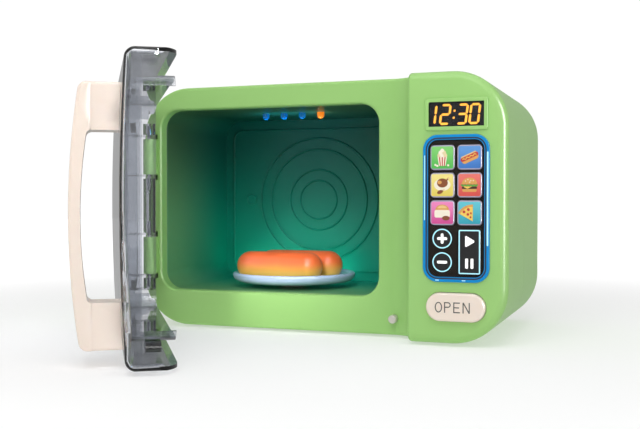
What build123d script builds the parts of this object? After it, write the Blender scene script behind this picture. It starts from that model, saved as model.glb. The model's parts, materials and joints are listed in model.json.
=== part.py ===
from build123d import *
import math
import os

# Toy microwave, in millimetres. +Z is up and the front faces -Y.
# The origin lies on the surface the toy stands on, under the middle of the housing.
# The door is drawn standing open, as it rests; its closing turn is a joint.

os.makedirs("parts", exist_ok=True)

# Housing sizes
width = 260.0
height = 165.0
depth = 146.0
stand_height = 1.6
corner_r = 34.0
wall = 2.4
recess = 26.0
module_w = 61.0
blend_r = 17.0
module_edge_r = 5.5
recess_edge_r = 2.0
back_edge_r = 7.0
seam_y = -5.0
seam_gap = 0.2
overrun = 5.0

x_left = -width / 2
x_right = width / 2
x_module = x_right - module_w
y_front = -depth / 2
y_back = depth / 2
y_recess = y_front + recess
z_low = stand_height
z_high = z_low + height
z_mid = z_low + height / 2
x_blend = x_module - blend_r
y_blend = y_recess - blend_r

# Cooking cavity
cavity_left_strip = 13.5
cavity_right_strip = 9.0
cavity_sill = 24.4
cavity_head = 15.2
cavity_back_gap = 14.0
cavity_r = 13.0
collar_depth = 8.0
mouth_edge_r = 1.6
liner_t = 2.0
liner_gap = 0.2

cavity_w = width - module_w - blend_r - cavity_left_strip - cavity_right_strip
cavity_h = height - cavity_sill - cavity_head
cavity_depth = depth - recess - cavity_back_gap
cavity_x0 = x_left + cavity_left_strip
cavity_x1 = cavity_x0 + cavity_w
cavity_x = (cavity_x0 + cavity_x1) / 2
cavity_z0 = z_low + cavity_sill
cavity_z1 = cavity_z0 + cavity_h
cavity_z = (cavity_z0 + cavity_z1) / 2
cavity_back = y_recess + cavity_depth
liner_front = y_recess + collar_depth + liner_gap
liner_back = cavity_back + liner_t

# Door hinge and door sizes, told from the hinge line
hinge_set_in = 6.7
hinge_stand_off = 5.0
open_angle = 56.3
door_gap = 0.6
door_depth = 22.5
door_crown = 2.8
door_wall = 2.0
door_edge_r = 5.5
door_free_r = 4.0
free_wall_depth = 8.2
seat_gap = 0.15
barrel_r = 4.0
hinge_pin_r = 1.25
running_gap = 0.06
handle_inset = 26.7
handle_w = 22.0

hinge_x = x_left + hinge_set_in
hinge_y = y_recess - hinge_stand_off
door_left = -hinge_set_in
door_right = x_module - door_gap - hinge_x
door_in = hinge_stand_off - door_gap
door_low = z_low + door_gap
door_high = z_high - door_gap
door_w = door_right - door_left
door_h = door_high - door_low
blend_s = x_blend - hinge_x
blend_n = hinge_y - y_blend
door_corner_r = blend_r - door_gap
crown_r = door_h**2 / (8 * door_crown) + door_crown / 2
crown_centre = door_depth + door_crown - crown_r
handle_s1 = door_right - handle_inset
handle_s0 = handle_s1 - handle_w
turn = math.radians(open_angle)
along = Vector(math.cos(turn), -math.sin(turn), 0)
outward = Vector(-math.sin(turn), -math.cos(turn), 0)
hinge_line = Vector(hinge_x, hinge_y, 0)

# Knuckles of the housing and, between and beyond them, barrels of the door
lower_knuckle_lift = 35.4
lower_knuckle_h = 25.8
upper_knuckle_drop = 35.5
upper_knuckle_h = 24.6
pin_gap = 3.0
end_barrel = 7.6
lower_knuckle = (z_low + lower_knuckle_lift, z_low + lower_knuckle_lift + lower_knuckle_h)
upper_knuckle = (z_high - upper_knuckle_drop - upper_knuckle_h, z_high - upper_knuckle_drop)
lugs = [
    (lower_knuckle[0] - pin_gap - end_barrel, lower_knuckle[0] - pin_gap),
    (lower_knuckle[1] + pin_gap, upper_knuckle[0] - pin_gap),
    (upper_knuckle[1] + pin_gap, upper_knuckle[1] + pin_gap + end_barrel),
]

# Control module face: the keypad fills the height that the display and the button leave
display_w = 38.2
display_h = 19.4
display_drop = 26.4
panel_gap = 2.5
keypad_w = 40.4
keypad_r = 9.0
keypad_rim = 2.4
keypad_proud = 1.4
keypad_foot = 37.7
panel_shift = 0.24
keypad_h = height - display_drop - display_h / 2 - panel_gap - keypad_foot
panel_x = x_module + module_w / 2 - panel_shift
keypad_z = z_low + keypad_foot + keypad_h / 2
display_z = z_high - display_drop
button_w = 36.0
button_h = 17.2
button_lift = 22.7
button_z = z_low + button_lift
fit_gap = 0.3
board_set_back = 4.9
board_t = 1.6

# Turntable
turntable_wall_gap = 8.5
turntable_r = cavity_depth / 2 - turntable_wall_gap
turntable_y = y_recess + cavity_depth / 2
plate_lift = 27.7
plate_z = z_low + plate_lift


def facing(y):
    """Upright plane at y that looks to the front."""
    return Plane.XZ.offset(-y)


def level(z):
    """Flat plane at height z."""
    return Plane.XY.offset(z)


def door_facing(n):
    """Upright plane of the standing door, n outward of the hinge line."""
    return Plane(origin=hinge_line + outward * n, x_dir=along, z_dir=outward)


def door_level(z):
    """Flat plane at height z, with x along the door and y towards the housing."""
    return Plane(origin=hinge_line + Vector(0, 0, z), x_dir=along, z_dir=(0, 0, 1))


def door_side(s):
    """Upright plane across the door at s from the hinge, with x outward."""
    return Plane(origin=hinge_line + along * s, x_dir=outward, z_dir=along * -1)


def stepped_block(inset, y_end):
    """Form of the housing from its stepped front back to y_end, drawn in by inset."""
    left = x_left + inset
    right = x_right - inset
    face = y_recess + inset
    front = y_front + inset
    side = x_module + inset
    with BuildPart() as block:
        with BuildSketch(level(z_low + inset)):
            with BuildLine():
                Polyline((left, y_end), (left, face), (x_blend, face))
                CenterArc((x_blend, y_blend), blend_r + inset, 0, 90)
                Polyline((side, y_blend), (side, front), (right, front), (right, y_end), (left, y_end))
            make_face()
        extrude(amount=height - 2 * inset)
        with BuildSketch(facing(y_end)):
            with Locations((0, z_mid)):
                RectangleRounded(width - 2 * inset, height - 2 * inset, corner_r - inset)
        extrude(amount=depth, mode=Mode.INTERSECT)
    return block.part


def door_block(inset, edge_r):
    """Crowned form of the door, drawn in by inset, open past its inner face if inset is a wall."""
    left = door_left + inset
    right = door_right - inset
    inner = door_in if inset <= 0 else door_in + overrun
    low = door_low + inset
    high = door_high - inset
    middle = (left + right) / 2
    with BuildPart() as block:
        with BuildSketch(door_facing(-inner)):
            with Locations((middle, z_mid)):
                RectangleRounded(right - left, high - low, corner_r - door_gap - inset)
            with Locations(((middle + right) / 2, z_mid)):
                RectangleRounded((right - left) / 2, high - low, door_free_r - inset)
        extrude(amount=inner + door_depth + door_crown + overrun)
        with BuildSketch(door_side(middle)):
            with Locations((crown_centre, z_mid)):
                Circle(crown_r - inset)
        extrude(amount=door_w, both=True, mode=Mode.INTERSECT)
        rim = block.faces().sort_by(lambda f: (f.center() - hinge_line).dot(outward))[-1].edges()
        fillet(rim, edge_r)
        if inset <= 0:
            with BuildSketch(door_level(door_low - overrun)):
                with BuildLine():
                    Polyline((left, door_in), (left, -door_w), (right, -door_w), (right, -blend_n))
                    CenterArc((blend_s, -blend_n), door_corner_r - inset, 0, 90)
                    Line((blend_s, door_in), (left, door_in))
                make_face()
            extrude(amount=door_h + 2 * overrun, mode=Mode.INTERSECT)
    return block.part


# Front housing: the door recess, the proud control module and the hinge knuckles in one moulding
bezel_opening_w = keypad_w - keypad_rim
bezel_opening_h = keypad_h - keypad_rim
display_rim = 2.3
push_pin_out = 1.5
push_pin_x = x_blend + push_pin_out
push_pin_lift = 10.7
push_pin_z = z_low + push_pin_lift
push_pin_r = 2.75
rocker_arm = 16.25
rocker_x = push_pin_x + rocker_arm
stem_x = rocker_x + rocker_arm
guide_r = 5.0
guide_len = 8.0
guide_end = y_recess + guide_len
spring_rib_out = 6.0
spring_rib_y = y_recess - spring_rib_out
spring_rib_t = 2.0
spring_rib_h = 31.0
post_r = 3.6
screw_r = 1.45
pilot_r = 1.5
pilot_depth = 12.0
top_post_drop = 7.8
top_post_insets = (31.5, 23.0)
low_post_lift = 12.4
low_post_insets = (10.5, 18.0)
side_post_inset = 11.0
side_post_lift = 43.4
side_post_drop = 41.6
side_post_x = x_right - side_post_inset
post_spots = [
    (cavity_x0 + top_post_insets[0], z_high - top_post_drop),
    (cavity_x1 - top_post_insets[1], z_high - top_post_drop),
    (cavity_x0 + low_post_insets[0], z_low + low_post_lift),
    (cavity_x1 - low_post_insets[1], z_low + low_post_lift),
    (side_post_x, z_low + side_post_lift),
    (side_post_x, z_high - side_post_drop),
]
ear_drop = 35.0
ear_out = 6.5
ear_spots = [
    (cavity_x0 - ear_out, cavity_z - ear_drop),
    (cavity_x0 - ear_out, cavity_z + ear_drop),
    (cavity_x1 + ear_out, cavity_z - ear_drop),
    (cavity_x1 + ear_out, cavity_z + ear_drop),
]
ear_boss_r = 2.8
ear_pilot_depth = 6.5
side_post_len = 28.0
board_w = 44.0
board_foot = 33.6
board_head = 9.0
board_r = 12.0
board_h = height - board_foot - board_head
board_z = z_low + board_foot + board_h / 2
board_boss_r = 2.2
board_boss_dx = 14.0
board_boss_inset = 2.5
board_spots = [
    (panel_x - board_boss_dx, board_z - board_h / 2 + board_boss_inset),
    (panel_x + board_boss_dx, board_z - board_h / 2 + board_boss_inset),
    (panel_x - board_boss_dx, board_z + board_h / 2 - board_boss_inset),
    (panel_x + board_boss_dx, board_z + board_h / 2 - board_boss_inset),
]
core_hole = 3.6
shelf_side_gap = 8.0
shelf_opening_w = width - 2 * corner_r - 2 * shelf_side_gap
shelf_set_backs = (11.0, 17.0)
shelf_opening_y0 = y_recess + shelf_set_backs[0]
shelf_opening_y1 = y_back - shelf_set_backs[1]
shelf_opening_r = 8.0
shelf_lip = 8.0
shelf_x = shelf_opening_w / 2 + shelf_lip / 2
base_head_t = 1.1
base_seat_depth = 1.2
shelf_y = (shelf_opening_y0 + shelf_opening_y1) / 2
shelf_opening_d = shelf_opening_y1 - shelf_opening_y0
base_spots = [
    (-shelf_x, shelf_opening_y0 - shelf_lip / 2),
    (shelf_x, shelf_opening_y0 - shelf_lip / 2),
    (-shelf_x, shelf_opening_y1 + shelf_lip / 2),
    (shelf_x, shelf_opening_y1 + shelf_lip / 2),
]
head_r = 2.9
head_t = 2.0

front_inner = stepped_block(wall, seam_y + overrun)
with BuildPart() as front_housing:
    add(stepped_block(0, seam_y))
    module_face = front_housing.faces().filter_by(Axis.Y).sort_by(Axis.Y)[0]
    module_rim = module_face.edges().sort_by(Axis.X)[1:]
    fillet(module_rim, module_edge_r)
    step_rim = [
        edge
        for edge in front_housing.edges()
        if edge.center().X < x_module + recess_edge_r
        and edge.bounding_box().max.Y < seam_y - recess_edge_r
        and not (
            edge.bounding_box().size.Z > height / 2
            and edge.center().Y > y_front + recess_edge_r
            and edge.center().X > x_left + recess_edge_r
        )
    ]
    fillet(step_rim, recess_edge_r)
    add(front_inner, mode=Mode.SUBTRACT)
    # Collar of the cavity mouth
    with BuildSketch(facing(y_recess + collar_depth)):
        with Locations((cavity_x, cavity_z)):
            RectangleRounded(cavity_w + 2 * wall, cavity_h + 2 * wall, cavity_r + wall)
    extrude(amount=collar_depth - wall / 2)
    # Posts for the case screws, bosses for the liner and the circuit board, guide of the push pin
    with BuildSketch(facing(seam_y - seam_gap)):
        with Locations(*post_spots[:4]):
            Circle(post_r)
    extrude(amount=seam_y - seam_gap - y_recess - wall / 2)
    with BuildSketch(facing(seam_y - seam_gap)):
        with Locations(*post_spots[4:]):
            Circle(post_r)
            Rectangle(x_right - wall / 2 - side_post_x, wall, align=(Align.MIN, Align.CENTER))
    extrude(amount=side_post_len)
    with BuildSketch(facing(liner_front)):
        with Locations(*ear_spots):
            Circle(ear_boss_r)
    extrude(amount=liner_front - y_recess - wall / 2)
    with BuildSketch(facing(y_front + board_set_back)):
        with Locations(*board_spots):
            Circle(board_boss_r)
    extrude(amount=board_set_back - wall / 2)
    with BuildSketch(facing(guide_end)):
        with Locations((push_pin_x, push_pin_z)):
            Circle(guide_r)
    extrude(amount=guide_end - y_recess - wall / 2)
    # Rib that carries the button's spring
    with BuildSketch(facing(spring_rib_y + spring_rib_t)):
        with Locations((stem_x, z_low + wall / 2)):
            Rectangle(post_r * 4, spring_rib_h, align=(Align.CENTER, Align.MIN))
    extrude(amount=spring_rib_t)
    # Openings
    with BuildSketch(facing(y_recess + collar_depth + overrun)):
        with Locations((cavity_x, cavity_z)):
            RectangleRounded(cavity_w, cavity_h, cavity_r)
    extrude(amount=collar_depth + 2 * overrun, mode=Mode.SUBTRACT)
    mouth = [
        edge
        for edge in front_housing.edges()
        if abs(edge.center().Y - y_recess) < seat_gap
        and edge.bounding_box().min.X > cavity_x0 - seat_gap
        and edge.bounding_box().max.X < cavity_x1 + seat_gap
        and edge.bounding_box().min.Z > cavity_z0 - seat_gap
        and edge.bounding_box().max.Z < cavity_z1 + seat_gap
    ]
    fillet(mouth, mouth_edge_r)
    with BuildSketch(facing(y_front + wall + fit_gap)):
        with Locations((panel_x, keypad_z)):
            RectangleRounded(bezel_opening_w, bezel_opening_h, keypad_r - keypad_rim / 2)
        with Locations((panel_x, display_z)):
            Rectangle(display_w - display_rim, display_h - display_rim)
        with Locations((panel_x, button_z)):
            SlotOverall(button_w + 2 * fit_gap, button_h + 2 * fit_gap)
    extrude(amount=wall + overrun, mode=Mode.SUBTRACT)
    with BuildSketch(facing(guide_end + overrun)):
        with Locations((push_pin_x, push_pin_z)):
            Circle(push_pin_r + running_gap)
    extrude(amount=guide_end - y_recess + 2 * overrun, mode=Mode.SUBTRACT)
    with BuildSketch(facing(spring_rib_y + spring_rib_t + overrun)):
        with Locations((stem_x, button_z)):
            Circle(push_pin_r)
    extrude(amount=spring_rib_t + 2 * overrun, mode=Mode.SUBTRACT)
    with BuildSketch(facing(seam_y)):
        with Locations(*post_spots):
            Circle(pilot_r)
    extrude(amount=pilot_depth, mode=Mode.SUBTRACT)
    with BuildSketch(facing(liner_front)):
        with Locations(*ear_spots):
            Circle(pilot_r)
    extrude(amount=ear_pilot_depth, mode=Mode.SUBTRACT)
    with BuildSketch(level(z_low)):
        with Locations(*base_spots[:2]):
            Circle(head_r + fit_gap)
    extrude(amount=base_seat_depth, mode=Mode.SUBTRACT)
    with BuildSketch(level(z_low)):
        with Locations(*base_spots[:2]):
            Circle(screw_r + fit_gap)
    extrude(amount=wall + fit_gap, mode=Mode.SUBTRACT)
    with BuildSketch(level(z_low - overrun)):
        with Locations((0, shelf_y)):
            RectangleRounded(shelf_opening_w, shelf_opening_d, shelf_opening_r)
    extrude(amount=wall + overrun + fit_gap, mode=Mode.SUBTRACT)
    # Hinge knuckles on the left strip, with the core holes behind the gaps
    for low, high in (lower_knuckle, upper_knuckle):
        with BuildSketch(level(low)):
            with Locations((hinge_x, hinge_y)):
                Circle(barrel_r)
                Rectangle(2 * barrel_r, hinge_stand_off + wall / 2, align=(Align.CENTER, Align.MIN))
        extrude(amount=high - low)
        with BuildSketch(level(low - overrun)):
            with Locations((hinge_x, hinge_y)):
                Circle(hinge_pin_r + running_gap)
        extrude(amount=high - low + 2 * overrun, mode=Mode.SUBTRACT)
        with BuildSketch(facing(y_recess + wall + fit_gap)):
            with Locations(
                (hinge_x + barrel_r - core_hole / 2, low - core_hole / 2),
                (hinge_x + barrel_r - core_hole / 2, high + core_hole / 2),
            ):
                Rectangle(core_hole, core_hole)
        extrude(amount=wall + overrun, mode=Mode.SUBTRACT)
front_housing.part.label = "front_housing"
export_step(front_housing.part, "parts/front_housing.step")

# Rear housing: a deep rounded shell with the speaker grille, battery and switch openings
rear_y0 = seam_y + seam_gap
well_r = 3.4
well_web = 16.0
well_depth = y_back - seam_y - well_web
rear_post_r = 4.8
speaker_inset = 38.0
speaker_x = x_right - speaker_inset
speaker_r = 18.0
slot_w = 2.2
slot_pitch = 4.6
slot_count = 7
cell_r = 7.1
cell_len = 50.0
cell_pitch = 15.0
battery_inset = 47.0
battery_lift = 54.4
battery_x = x_right - battery_inset
battery_z = z_low + battery_lift
hatch_w = 62.0
box_wall = 2.0
box_top = 6.0
cell_play = 0.9
hatch_h = 2 * cell_pitch + 2 * cell_r + 2 * cell_play + box_wall + box_top
speaker_z = (battery_z + hatch_h / 2 + z_high) / 2
hatch_r = 4.0
hatch_t = 1.4
hatch_ledge = 2.0
switch_x = battery_x
switch_lift = 14.0
switch_z = z_low + switch_lift
switch_slot_w = 11.0
switch_slot_h = 5.4

with BuildPart() as rear_housing:
    with BuildSketch(facing(y_back)):
        with Locations((0, z_mid)):
            RectangleRounded(width, height, corner_r)
    extrude(amount=y_back - rear_y0)
    fillet(rear_housing.faces().sort_by(Axis.Y)[-1].edges(), back_edge_r)
    with BuildSketch(facing(y_back - wall)):
        with Locations((0, z_mid)):
            RectangleRounded(width - 2 * wall, height - 2 * wall, corner_r - wall)
    extrude(amount=depth, mode=Mode.SUBTRACT)
    with BuildSketch(facing(y_back - wall / 2)):
        with Locations(*post_spots):
            Circle(rear_post_r)
    extrude(amount=y_back - wall / 2 - rear_y0)
    with BuildSketch(facing(y_back)):
        with Locations(*post_spots):
            Circle(well_r)
    extrude(amount=well_depth, mode=Mode.SUBTRACT)
    with BuildSketch(facing(y_back)):
        with Locations(*post_spots):
            Circle(screw_r + fit_gap)
        with Locations((battery_x, battery_z)):
            RectangleRounded(hatch_w - 2 * hatch_ledge, hatch_h - 2 * hatch_ledge, hatch_r)
        with Locations((switch_x, switch_z)):
            Rectangle(switch_slot_w, switch_slot_h)
        with Locations((speaker_x, speaker_z)):
            for index in range(slot_count):
                offset_x = (index - (slot_count - 1) / 2) * slot_pitch
                chord = 2 * math.sqrt(speaker_r**2 - offset_x**2) - 2 * slot_w
                with Locations((offset_x, 0)):
                    SlotOverall(chord, slot_w, rotation=90)
    extrude(amount=depth, mode=Mode.SUBTRACT)
    with BuildSketch(facing(y_back)):
        with Locations((battery_x, battery_z)):
            RectangleRounded(hatch_w + 2 * fit_gap, hatch_h + 2 * fit_gap, hatch_r)
    extrude(amount=hatch_t, mode=Mode.SUBTRACT)
    with BuildSketch(level(z_low - overrun)):
        with Locations((0, shelf_y)):
            RectangleRounded(shelf_opening_w, shelf_opening_d, shelf_opening_r)
    extrude(amount=wall + overrun + fit_gap, mode=Mode.SUBTRACT)
    with BuildSketch(level(z_low)):
        with Locations(*base_spots[2:]):
            Circle(head_r + fit_gap)
    extrude(amount=base_seat_depth, mode=Mode.SUBTRACT)
    with BuildSketch(level(z_low)):
        with Locations(*base_spots[2:]):
            Circle(screw_r + fit_gap)
    extrude(amount=wall + fit_gap, mode=Mode.SUBTRACT)
rear_housing.part.label = "rear_housing"
export_step(rear_housing.part, "parts/rear_housing.step")

# Cavity liner: a deep tub with ears, a raised back panel, rings and a boss
back_panel_inset = 7.0
back_panel_t = 1.5
back_panel_r = 8.0
back_edge_in_r = 6.0
ring_t = 1.4
ring_rise = 0.8
ring_shares = (0.384, 0.315, 0.187, 0.12)
back_boss_r = 4.3
back_boss_inset = 23.1
back_boss_x = cavity_x0 + back_boss_inset
ear_h = 9.0
hub_r = 6.0
led_r = 2.5
led_pitch_share = 0.0888
led_inset_share = 0.372
led_pitch = led_pitch_share * cavity_w
led_inset = led_inset_share * cavity_w
led_set_back = 49.0
led_y = y_recess + led_set_back
led_spots = [(cavity_x0 + led_inset + index * led_pitch, led_y) for index in range(4)]
led_foot_out = 9.5
led_foot_r = 2.5
led_foot_h = 1.6
led_feet = [(led_spots[0][0] - led_foot_out, led_y), (led_spots[-1][0] + led_foot_out, led_y)]

with BuildPart() as cavity_liner:
    with BuildSketch(facing(liner_back)):
        with Locations((cavity_x, cavity_z)):
            RectangleRounded(cavity_w + 2 * liner_t, cavity_h + 2 * liner_t, cavity_r + liner_t)
    extrude(amount=liner_back - liner_front)
    fillet(cavity_liner.faces().sort_by(Axis.Y)[-1].edges(), back_edge_in_r)
    with BuildSketch(facing(liner_front + liner_t)):
        with Locations(*[(cavity_x, z) for z in (ear_spots[0][1], ear_spots[1][1])]):
            Rectangle(cavity_w + 2 * (ear_out + ear_boss_r), ear_h)
    extrude(amount=liner_t)
    with BuildSketch(facing(cavity_back)):
        with Locations((cavity_x, cavity_z)):
            RectangleRounded(cavity_w, cavity_h, cavity_r)
    extrude(amount=cavity_depth, mode=Mode.SUBTRACT)
    with BuildSketch(facing(cavity_back + liner_t / 2)):
        with Locations((cavity_x, cavity_z)):
            panel_w = cavity_w - 2 * back_panel_inset
            panel_h = cavity_h - 2 * back_panel_inset
            RectangleRounded(panel_w, panel_h, back_panel_r)
    extrude(amount=liner_t / 2 + back_panel_t)
    with BuildSketch(facing(cavity_back - back_panel_t / 2)):
        with Locations((cavity_x, cavity_z)):
            for share in ring_shares:
                Circle(share * cavity_h + ring_t / 2)
                Circle(share * cavity_h - ring_t / 2, mode=Mode.SUBTRACT)
        with Locations((back_boss_x, cavity_z)):
            Circle(back_boss_r)
    extrude(amount=back_panel_t / 2 + ring_rise)
    with BuildSketch(level(cavity_z1 + liner_t / 2)):
        with Locations(*led_feet):
            Circle(led_foot_r)
    extrude(amount=led_foot_h + liner_t / 2)
    with BuildSketch(level(cavity_z1 - overrun)):
        with Locations(*led_spots):
            Circle(led_r + seat_gap)
    extrude(amount=2 * overrun + liner_t, mode=Mode.SUBTRACT)
    with BuildSketch(level(cavity_z0 - overrun)):
        with Locations((cavity_x, turntable_y)):
            Circle(hub_r + running_gap)
    extrude(amount=2 * overrun, mode=Mode.SUBTRACT)
    with BuildSketch(facing(liner_front + overrun)):
        with Locations(*ear_spots):
            Circle(screw_r + fit_gap)
    extrude(amount=2 * overrun, mode=Mode.SUBTRACT)
cavity_liner.part.label = "cavity_liner"
export_step(cavity_liner.part, "parts/cavity_liner.step")


def screws(spots, seat, shank, head, toward):
    """Screws whose heads start at seat and look along toward, one at each spot of its plane."""
    with BuildPart() as row:
        with BuildSketch(Plane(origin=seat, x_dir=(1, 0, 0), z_dir=toward)):
            with Locations(*[(across, -up) for across, up in spots]):
                Circle(head_r)
        extrude(amount=head)
        with BuildSketch(Plane(origin=seat, x_dir=(1, 0, 0), z_dir=toward)):
            with Locations(*[(across, -up) for across, up in spots]):
                Circle(screw_r)
        extrude(amount=-shank)
    return row.part


def coil(centre, direction, radius, wire_r, turns, length):
    """Compression spring that starts at centre and runs along direction."""
    start = Vector(*centre) + Vector(*direction) * wire_r
    run = length - 2 * wire_r
    with BuildPart() as spring:
        with BuildLine() as path:
            Helix(run / turns, run, radius, center=start, direction=direction)
        with BuildSketch(Plane(origin=path.line @ 0, z_dir=path.line % 0)):
            RegularPolygon(wire_r, wire_sides)
        sweep(is_frenet=True)
    return spring.part


# Screws that hold the liner, join the two housings and hold the base
liner_shank_len = 7.0
case_bite = 9.0
case_shank_len = well_web + case_bite
base_shank_len = 6.0
wire_sides = 6

with BuildPart() as liner_screws:
    ear_back = liner_front + liner_t + seat_gap / 2
    add(screws(ear_spots, (0, ear_back, 0), liner_shank_len, head_t, (0, 1, 0)))
liner_screws.part.label = "liner_screws"
export_step(liner_screws.part, "parts/liner_screws.step")

with BuildPart() as case_screws:
    well_floor = y_back - well_depth + seat_gap / 2
    add(screws(post_spots, (0, well_floor, 0), case_shank_len, head_t, (0, 1, 0)))
case_screws.part.label = "case_screws"
export_step(case_screws.part, "parts/case_screws.step")

with BuildPart() as base_screws:
    add(screws(base_spots, (0, 0, z_low + base_seat_depth), base_shank_len, base_head_t, (0, 0, -1)))
base_screws.part.label = "base_screws"
export_step(base_screws.part, "parts/base_screws.step")

# Base plate: closes the bottom opening, stands the toy and carries the gear and the rocker
base_t = 2.2
base_z0 = z_low + wall + seat_gap / 2
base_z1 = base_z0 + base_t
base_boss_h = 3.4
foot_inset = 6.0
foot_w = 3.0
gear_foot = 14.0
gear_h = 4.0
gear_post_r = 2.0
gear_shoulder_r = 4.0
rocker_low = 9.5
rocker_high = 27.0
rocker_shoulder_r = 3.2
rocker_set_back = 21.0
rocker_y = y_recess + rocker_set_back
post_top_gap = 0.5

with BuildPart() as base_plate:
    with BuildSketch(level(base_z0)):
        with Locations((0, shelf_y)):
            plate_w = shelf_opening_w + 2 * shelf_lip
            plate_d = shelf_opening_d + 2 * shelf_lip
            RectangleRounded(plate_w, plate_d, shelf_opening_r)
    extrude(amount=base_t)
    with BuildSketch(level(z_low)):
        with Locations((0, shelf_y)):
            pad_w = shelf_opening_w - 2 * fit_gap
            pad_d = shelf_opening_d - 2 * fit_gap
            RectangleRounded(pad_w, pad_d, shelf_opening_r - fit_gap)
    extrude(amount=base_z0 - z_low)
    with BuildSketch(level(0)):
        with Locations((0, shelf_y)):
            foot_out_w = shelf_opening_w - 2 * foot_inset
            foot_out_d = shelf_opening_d - 2 * foot_inset
            RectangleRounded(foot_out_w, foot_out_d, shelf_opening_r)
            RectangleRounded(
                foot_out_w - 2 * foot_w,
                foot_out_d - 2 * foot_w,
                shelf_opening_r - foot_w,
                mode=Mode.SUBTRACT,
            )
    extrude(amount=z_low)
    with BuildSketch(level(base_z1)):
        with Locations(*base_spots):
            Circle(post_r)
    extrude(amount=base_boss_h)
    with BuildSketch(level(base_z1)):
        with Locations((cavity_x, turntable_y)):
            Circle(gear_shoulder_r)
    extrude(amount=gear_foot - seat_gap - base_z1)
    with BuildSketch(level(base_z1)):
        with Locations((cavity_x, turntable_y)):
            Circle(gear_post_r)
    extrude(amount=gear_foot + gear_h - post_top_gap - base_z1)
    with BuildSketch(level(base_z1)):
        with Locations((rocker_x, rocker_y)):
            Circle(rocker_shoulder_r)
    extrude(amount=rocker_low - seat_gap - base_z1)
    with BuildSketch(level(base_z1)):
        with Locations((rocker_x, rocker_y)):
            Circle(gear_post_r)
    extrude(amount=rocker_high - post_top_gap - base_z1)
    with BuildSketch(level(base_z0)):
        with Locations(*base_spots):
            Circle(pilot_r)
    extrude(amount=base_t + base_boss_h - post_top_gap, mode=Mode.SUBTRACT)
base_plate.part.label = "base_plate"
export_step(base_plate.part, "parts/base_plate.step")

# Display: bezel, clear window and the digit block behind it
display_proud = 1.2
display_r = 1.8
display_lip = 0.6
display_open_w = 33.6
display_open_h = 15.4
pane_t = 1.6
pane_play = 0.5
sleeve_end = y_front + wall
sleeve_t = 0.7

with BuildPart() as display_bezel:
    with BuildSketch(facing(y_front - seat_gap / 2)):
        with Locations((panel_x, display_z)):
            RectangleRounded(display_w, display_h, display_r)
    extrude(amount=display_proud)
    fillet(display_bezel.faces().sort_by(Axis.Y)[0].edges(), display_lip)
    with BuildSketch(facing(sleeve_end)):
        with Locations((panel_x, display_z)):
            sleeve_w = display_w - display_rim - 2 * seat_gap
            sleeve_h = display_h - display_rim - 2 * seat_gap
            Rectangle(sleeve_w, sleeve_h)
    extrude(amount=wall + display_proud / 2)
    with BuildSketch(facing(sleeve_end)):
        with Locations((panel_x, display_z)):
            Rectangle(sleeve_w - 2 * sleeve_t, sleeve_h - 2 * sleeve_t)
    extrude(amount=wall + display_proud - display_lip, mode=Mode.SUBTRACT)
    with BuildSketch(facing(sleeve_end)):
        with Locations((panel_x, display_z)):
            Rectangle(display_open_w, display_open_h - display_lip)
    extrude(amount=wall + display_proud + overrun, mode=Mode.SUBTRACT)
display_bezel.part.label = "display_bezel"
export_step(display_bezel.part, "parts/display_bezel.step")

pane_front = y_front - display_proud + display_lip + seat_gap / 2
with BuildPart() as display_window:
    with BuildSketch(facing(pane_front + pane_t)):
        with Locations((panel_x, display_z)):
            Rectangle(sleeve_w - 2 * sleeve_t - pane_play, sleeve_h - 2 * sleeve_t - pane_play)
    extrude(amount=pane_t)
display_window.part.label = "display_window"
export_step(display_window.part, "parts/display_window.step")

board_front = y_front + board_set_back + seat_gap / 2
with BuildPart() as digit_display:
    with BuildSketch(facing(board_front - seat_gap)):
        with Locations((panel_x, display_z)):
            Rectangle(display_open_w - pane_play, display_open_h - 2 * pane_play)
    extrude(amount=board_front - pane_front - pane_t - 2 * seat_gap)
digit_display.part.label = "digit_display"
export_step(digit_display.part, "parts/digit_display.step")

# Keypad: bezel, punched plate, nine keys, soft membrane and circuit board
plate_t = 1.8
lip_t = 0.9
plate_inset = 2.6
lip_over = 0.5
key_gap = 1.7
small_key_gap = 2.0
key_r = 2.2
key_proud = 1.3
flange_extra = 0.55
key_flange_t = 0.8
key_edge_r = 0.6
membrane_play = 0.7
membrane_t = 0.8
bar_narrowing = 1.2
bar_drop = 0.75
bar_overlap = 0.7
column_share = 0.234
row_share = 0.1988
pair_share = 0.17
top_edge_share = 0.0455
low_edge_share = 0.0395
picture_names = (
    ("key_popcorn", "key_hot_dog"),
    ("key_roast_chicken", "key_burger"),
    ("key_bun", "key_pizza"),
)

keypad_plate_w = keypad_w - 2 * plate_inset
keypad_plate_h = keypad_h - 2 * plate_inset
keypad_plate_r = keypad_r - plate_inset
plate_z0 = keypad_z - keypad_plate_h / 2
plate_z1 = keypad_z + keypad_plate_h / 2
key_shift = column_share * keypad_plate_w
row_pitch = row_share * keypad_plate_h
pair_pitch = pair_share * keypad_plate_h
key_w = min(2 * key_shift, row_pitch) - key_gap
small_key_r = (min(2 * key_shift, pair_pitch) - small_key_gap) / 2
top_row_z = plate_z1 - top_edge_share * keypad_plate_h - key_w / 2
minus_z = plate_z0 + low_edge_share * keypad_plate_h + small_key_r
bar_w = key_w - bar_narrowing
bar_h = pair_pitch + 2 * small_key_r + bar_overlap
plate_front = y_front - keypad_proud + lip_t + seat_gap / 2
plate_back = plate_front + plate_t
key_left = panel_x - key_shift
key_right = panel_x + key_shift
picture_keys = [
    (name, x, top_row_z - row * row_pitch)
    for row, names in enumerate(picture_names)
    for name, x in zip(names, (key_left, key_right))
]
small_keys = [("key_plus", key_left, minus_z + pair_pitch), ("key_minus", key_left, minus_z)]
bar_spot = (key_right, minus_z + pair_pitch / 2 - bar_drop)

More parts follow.
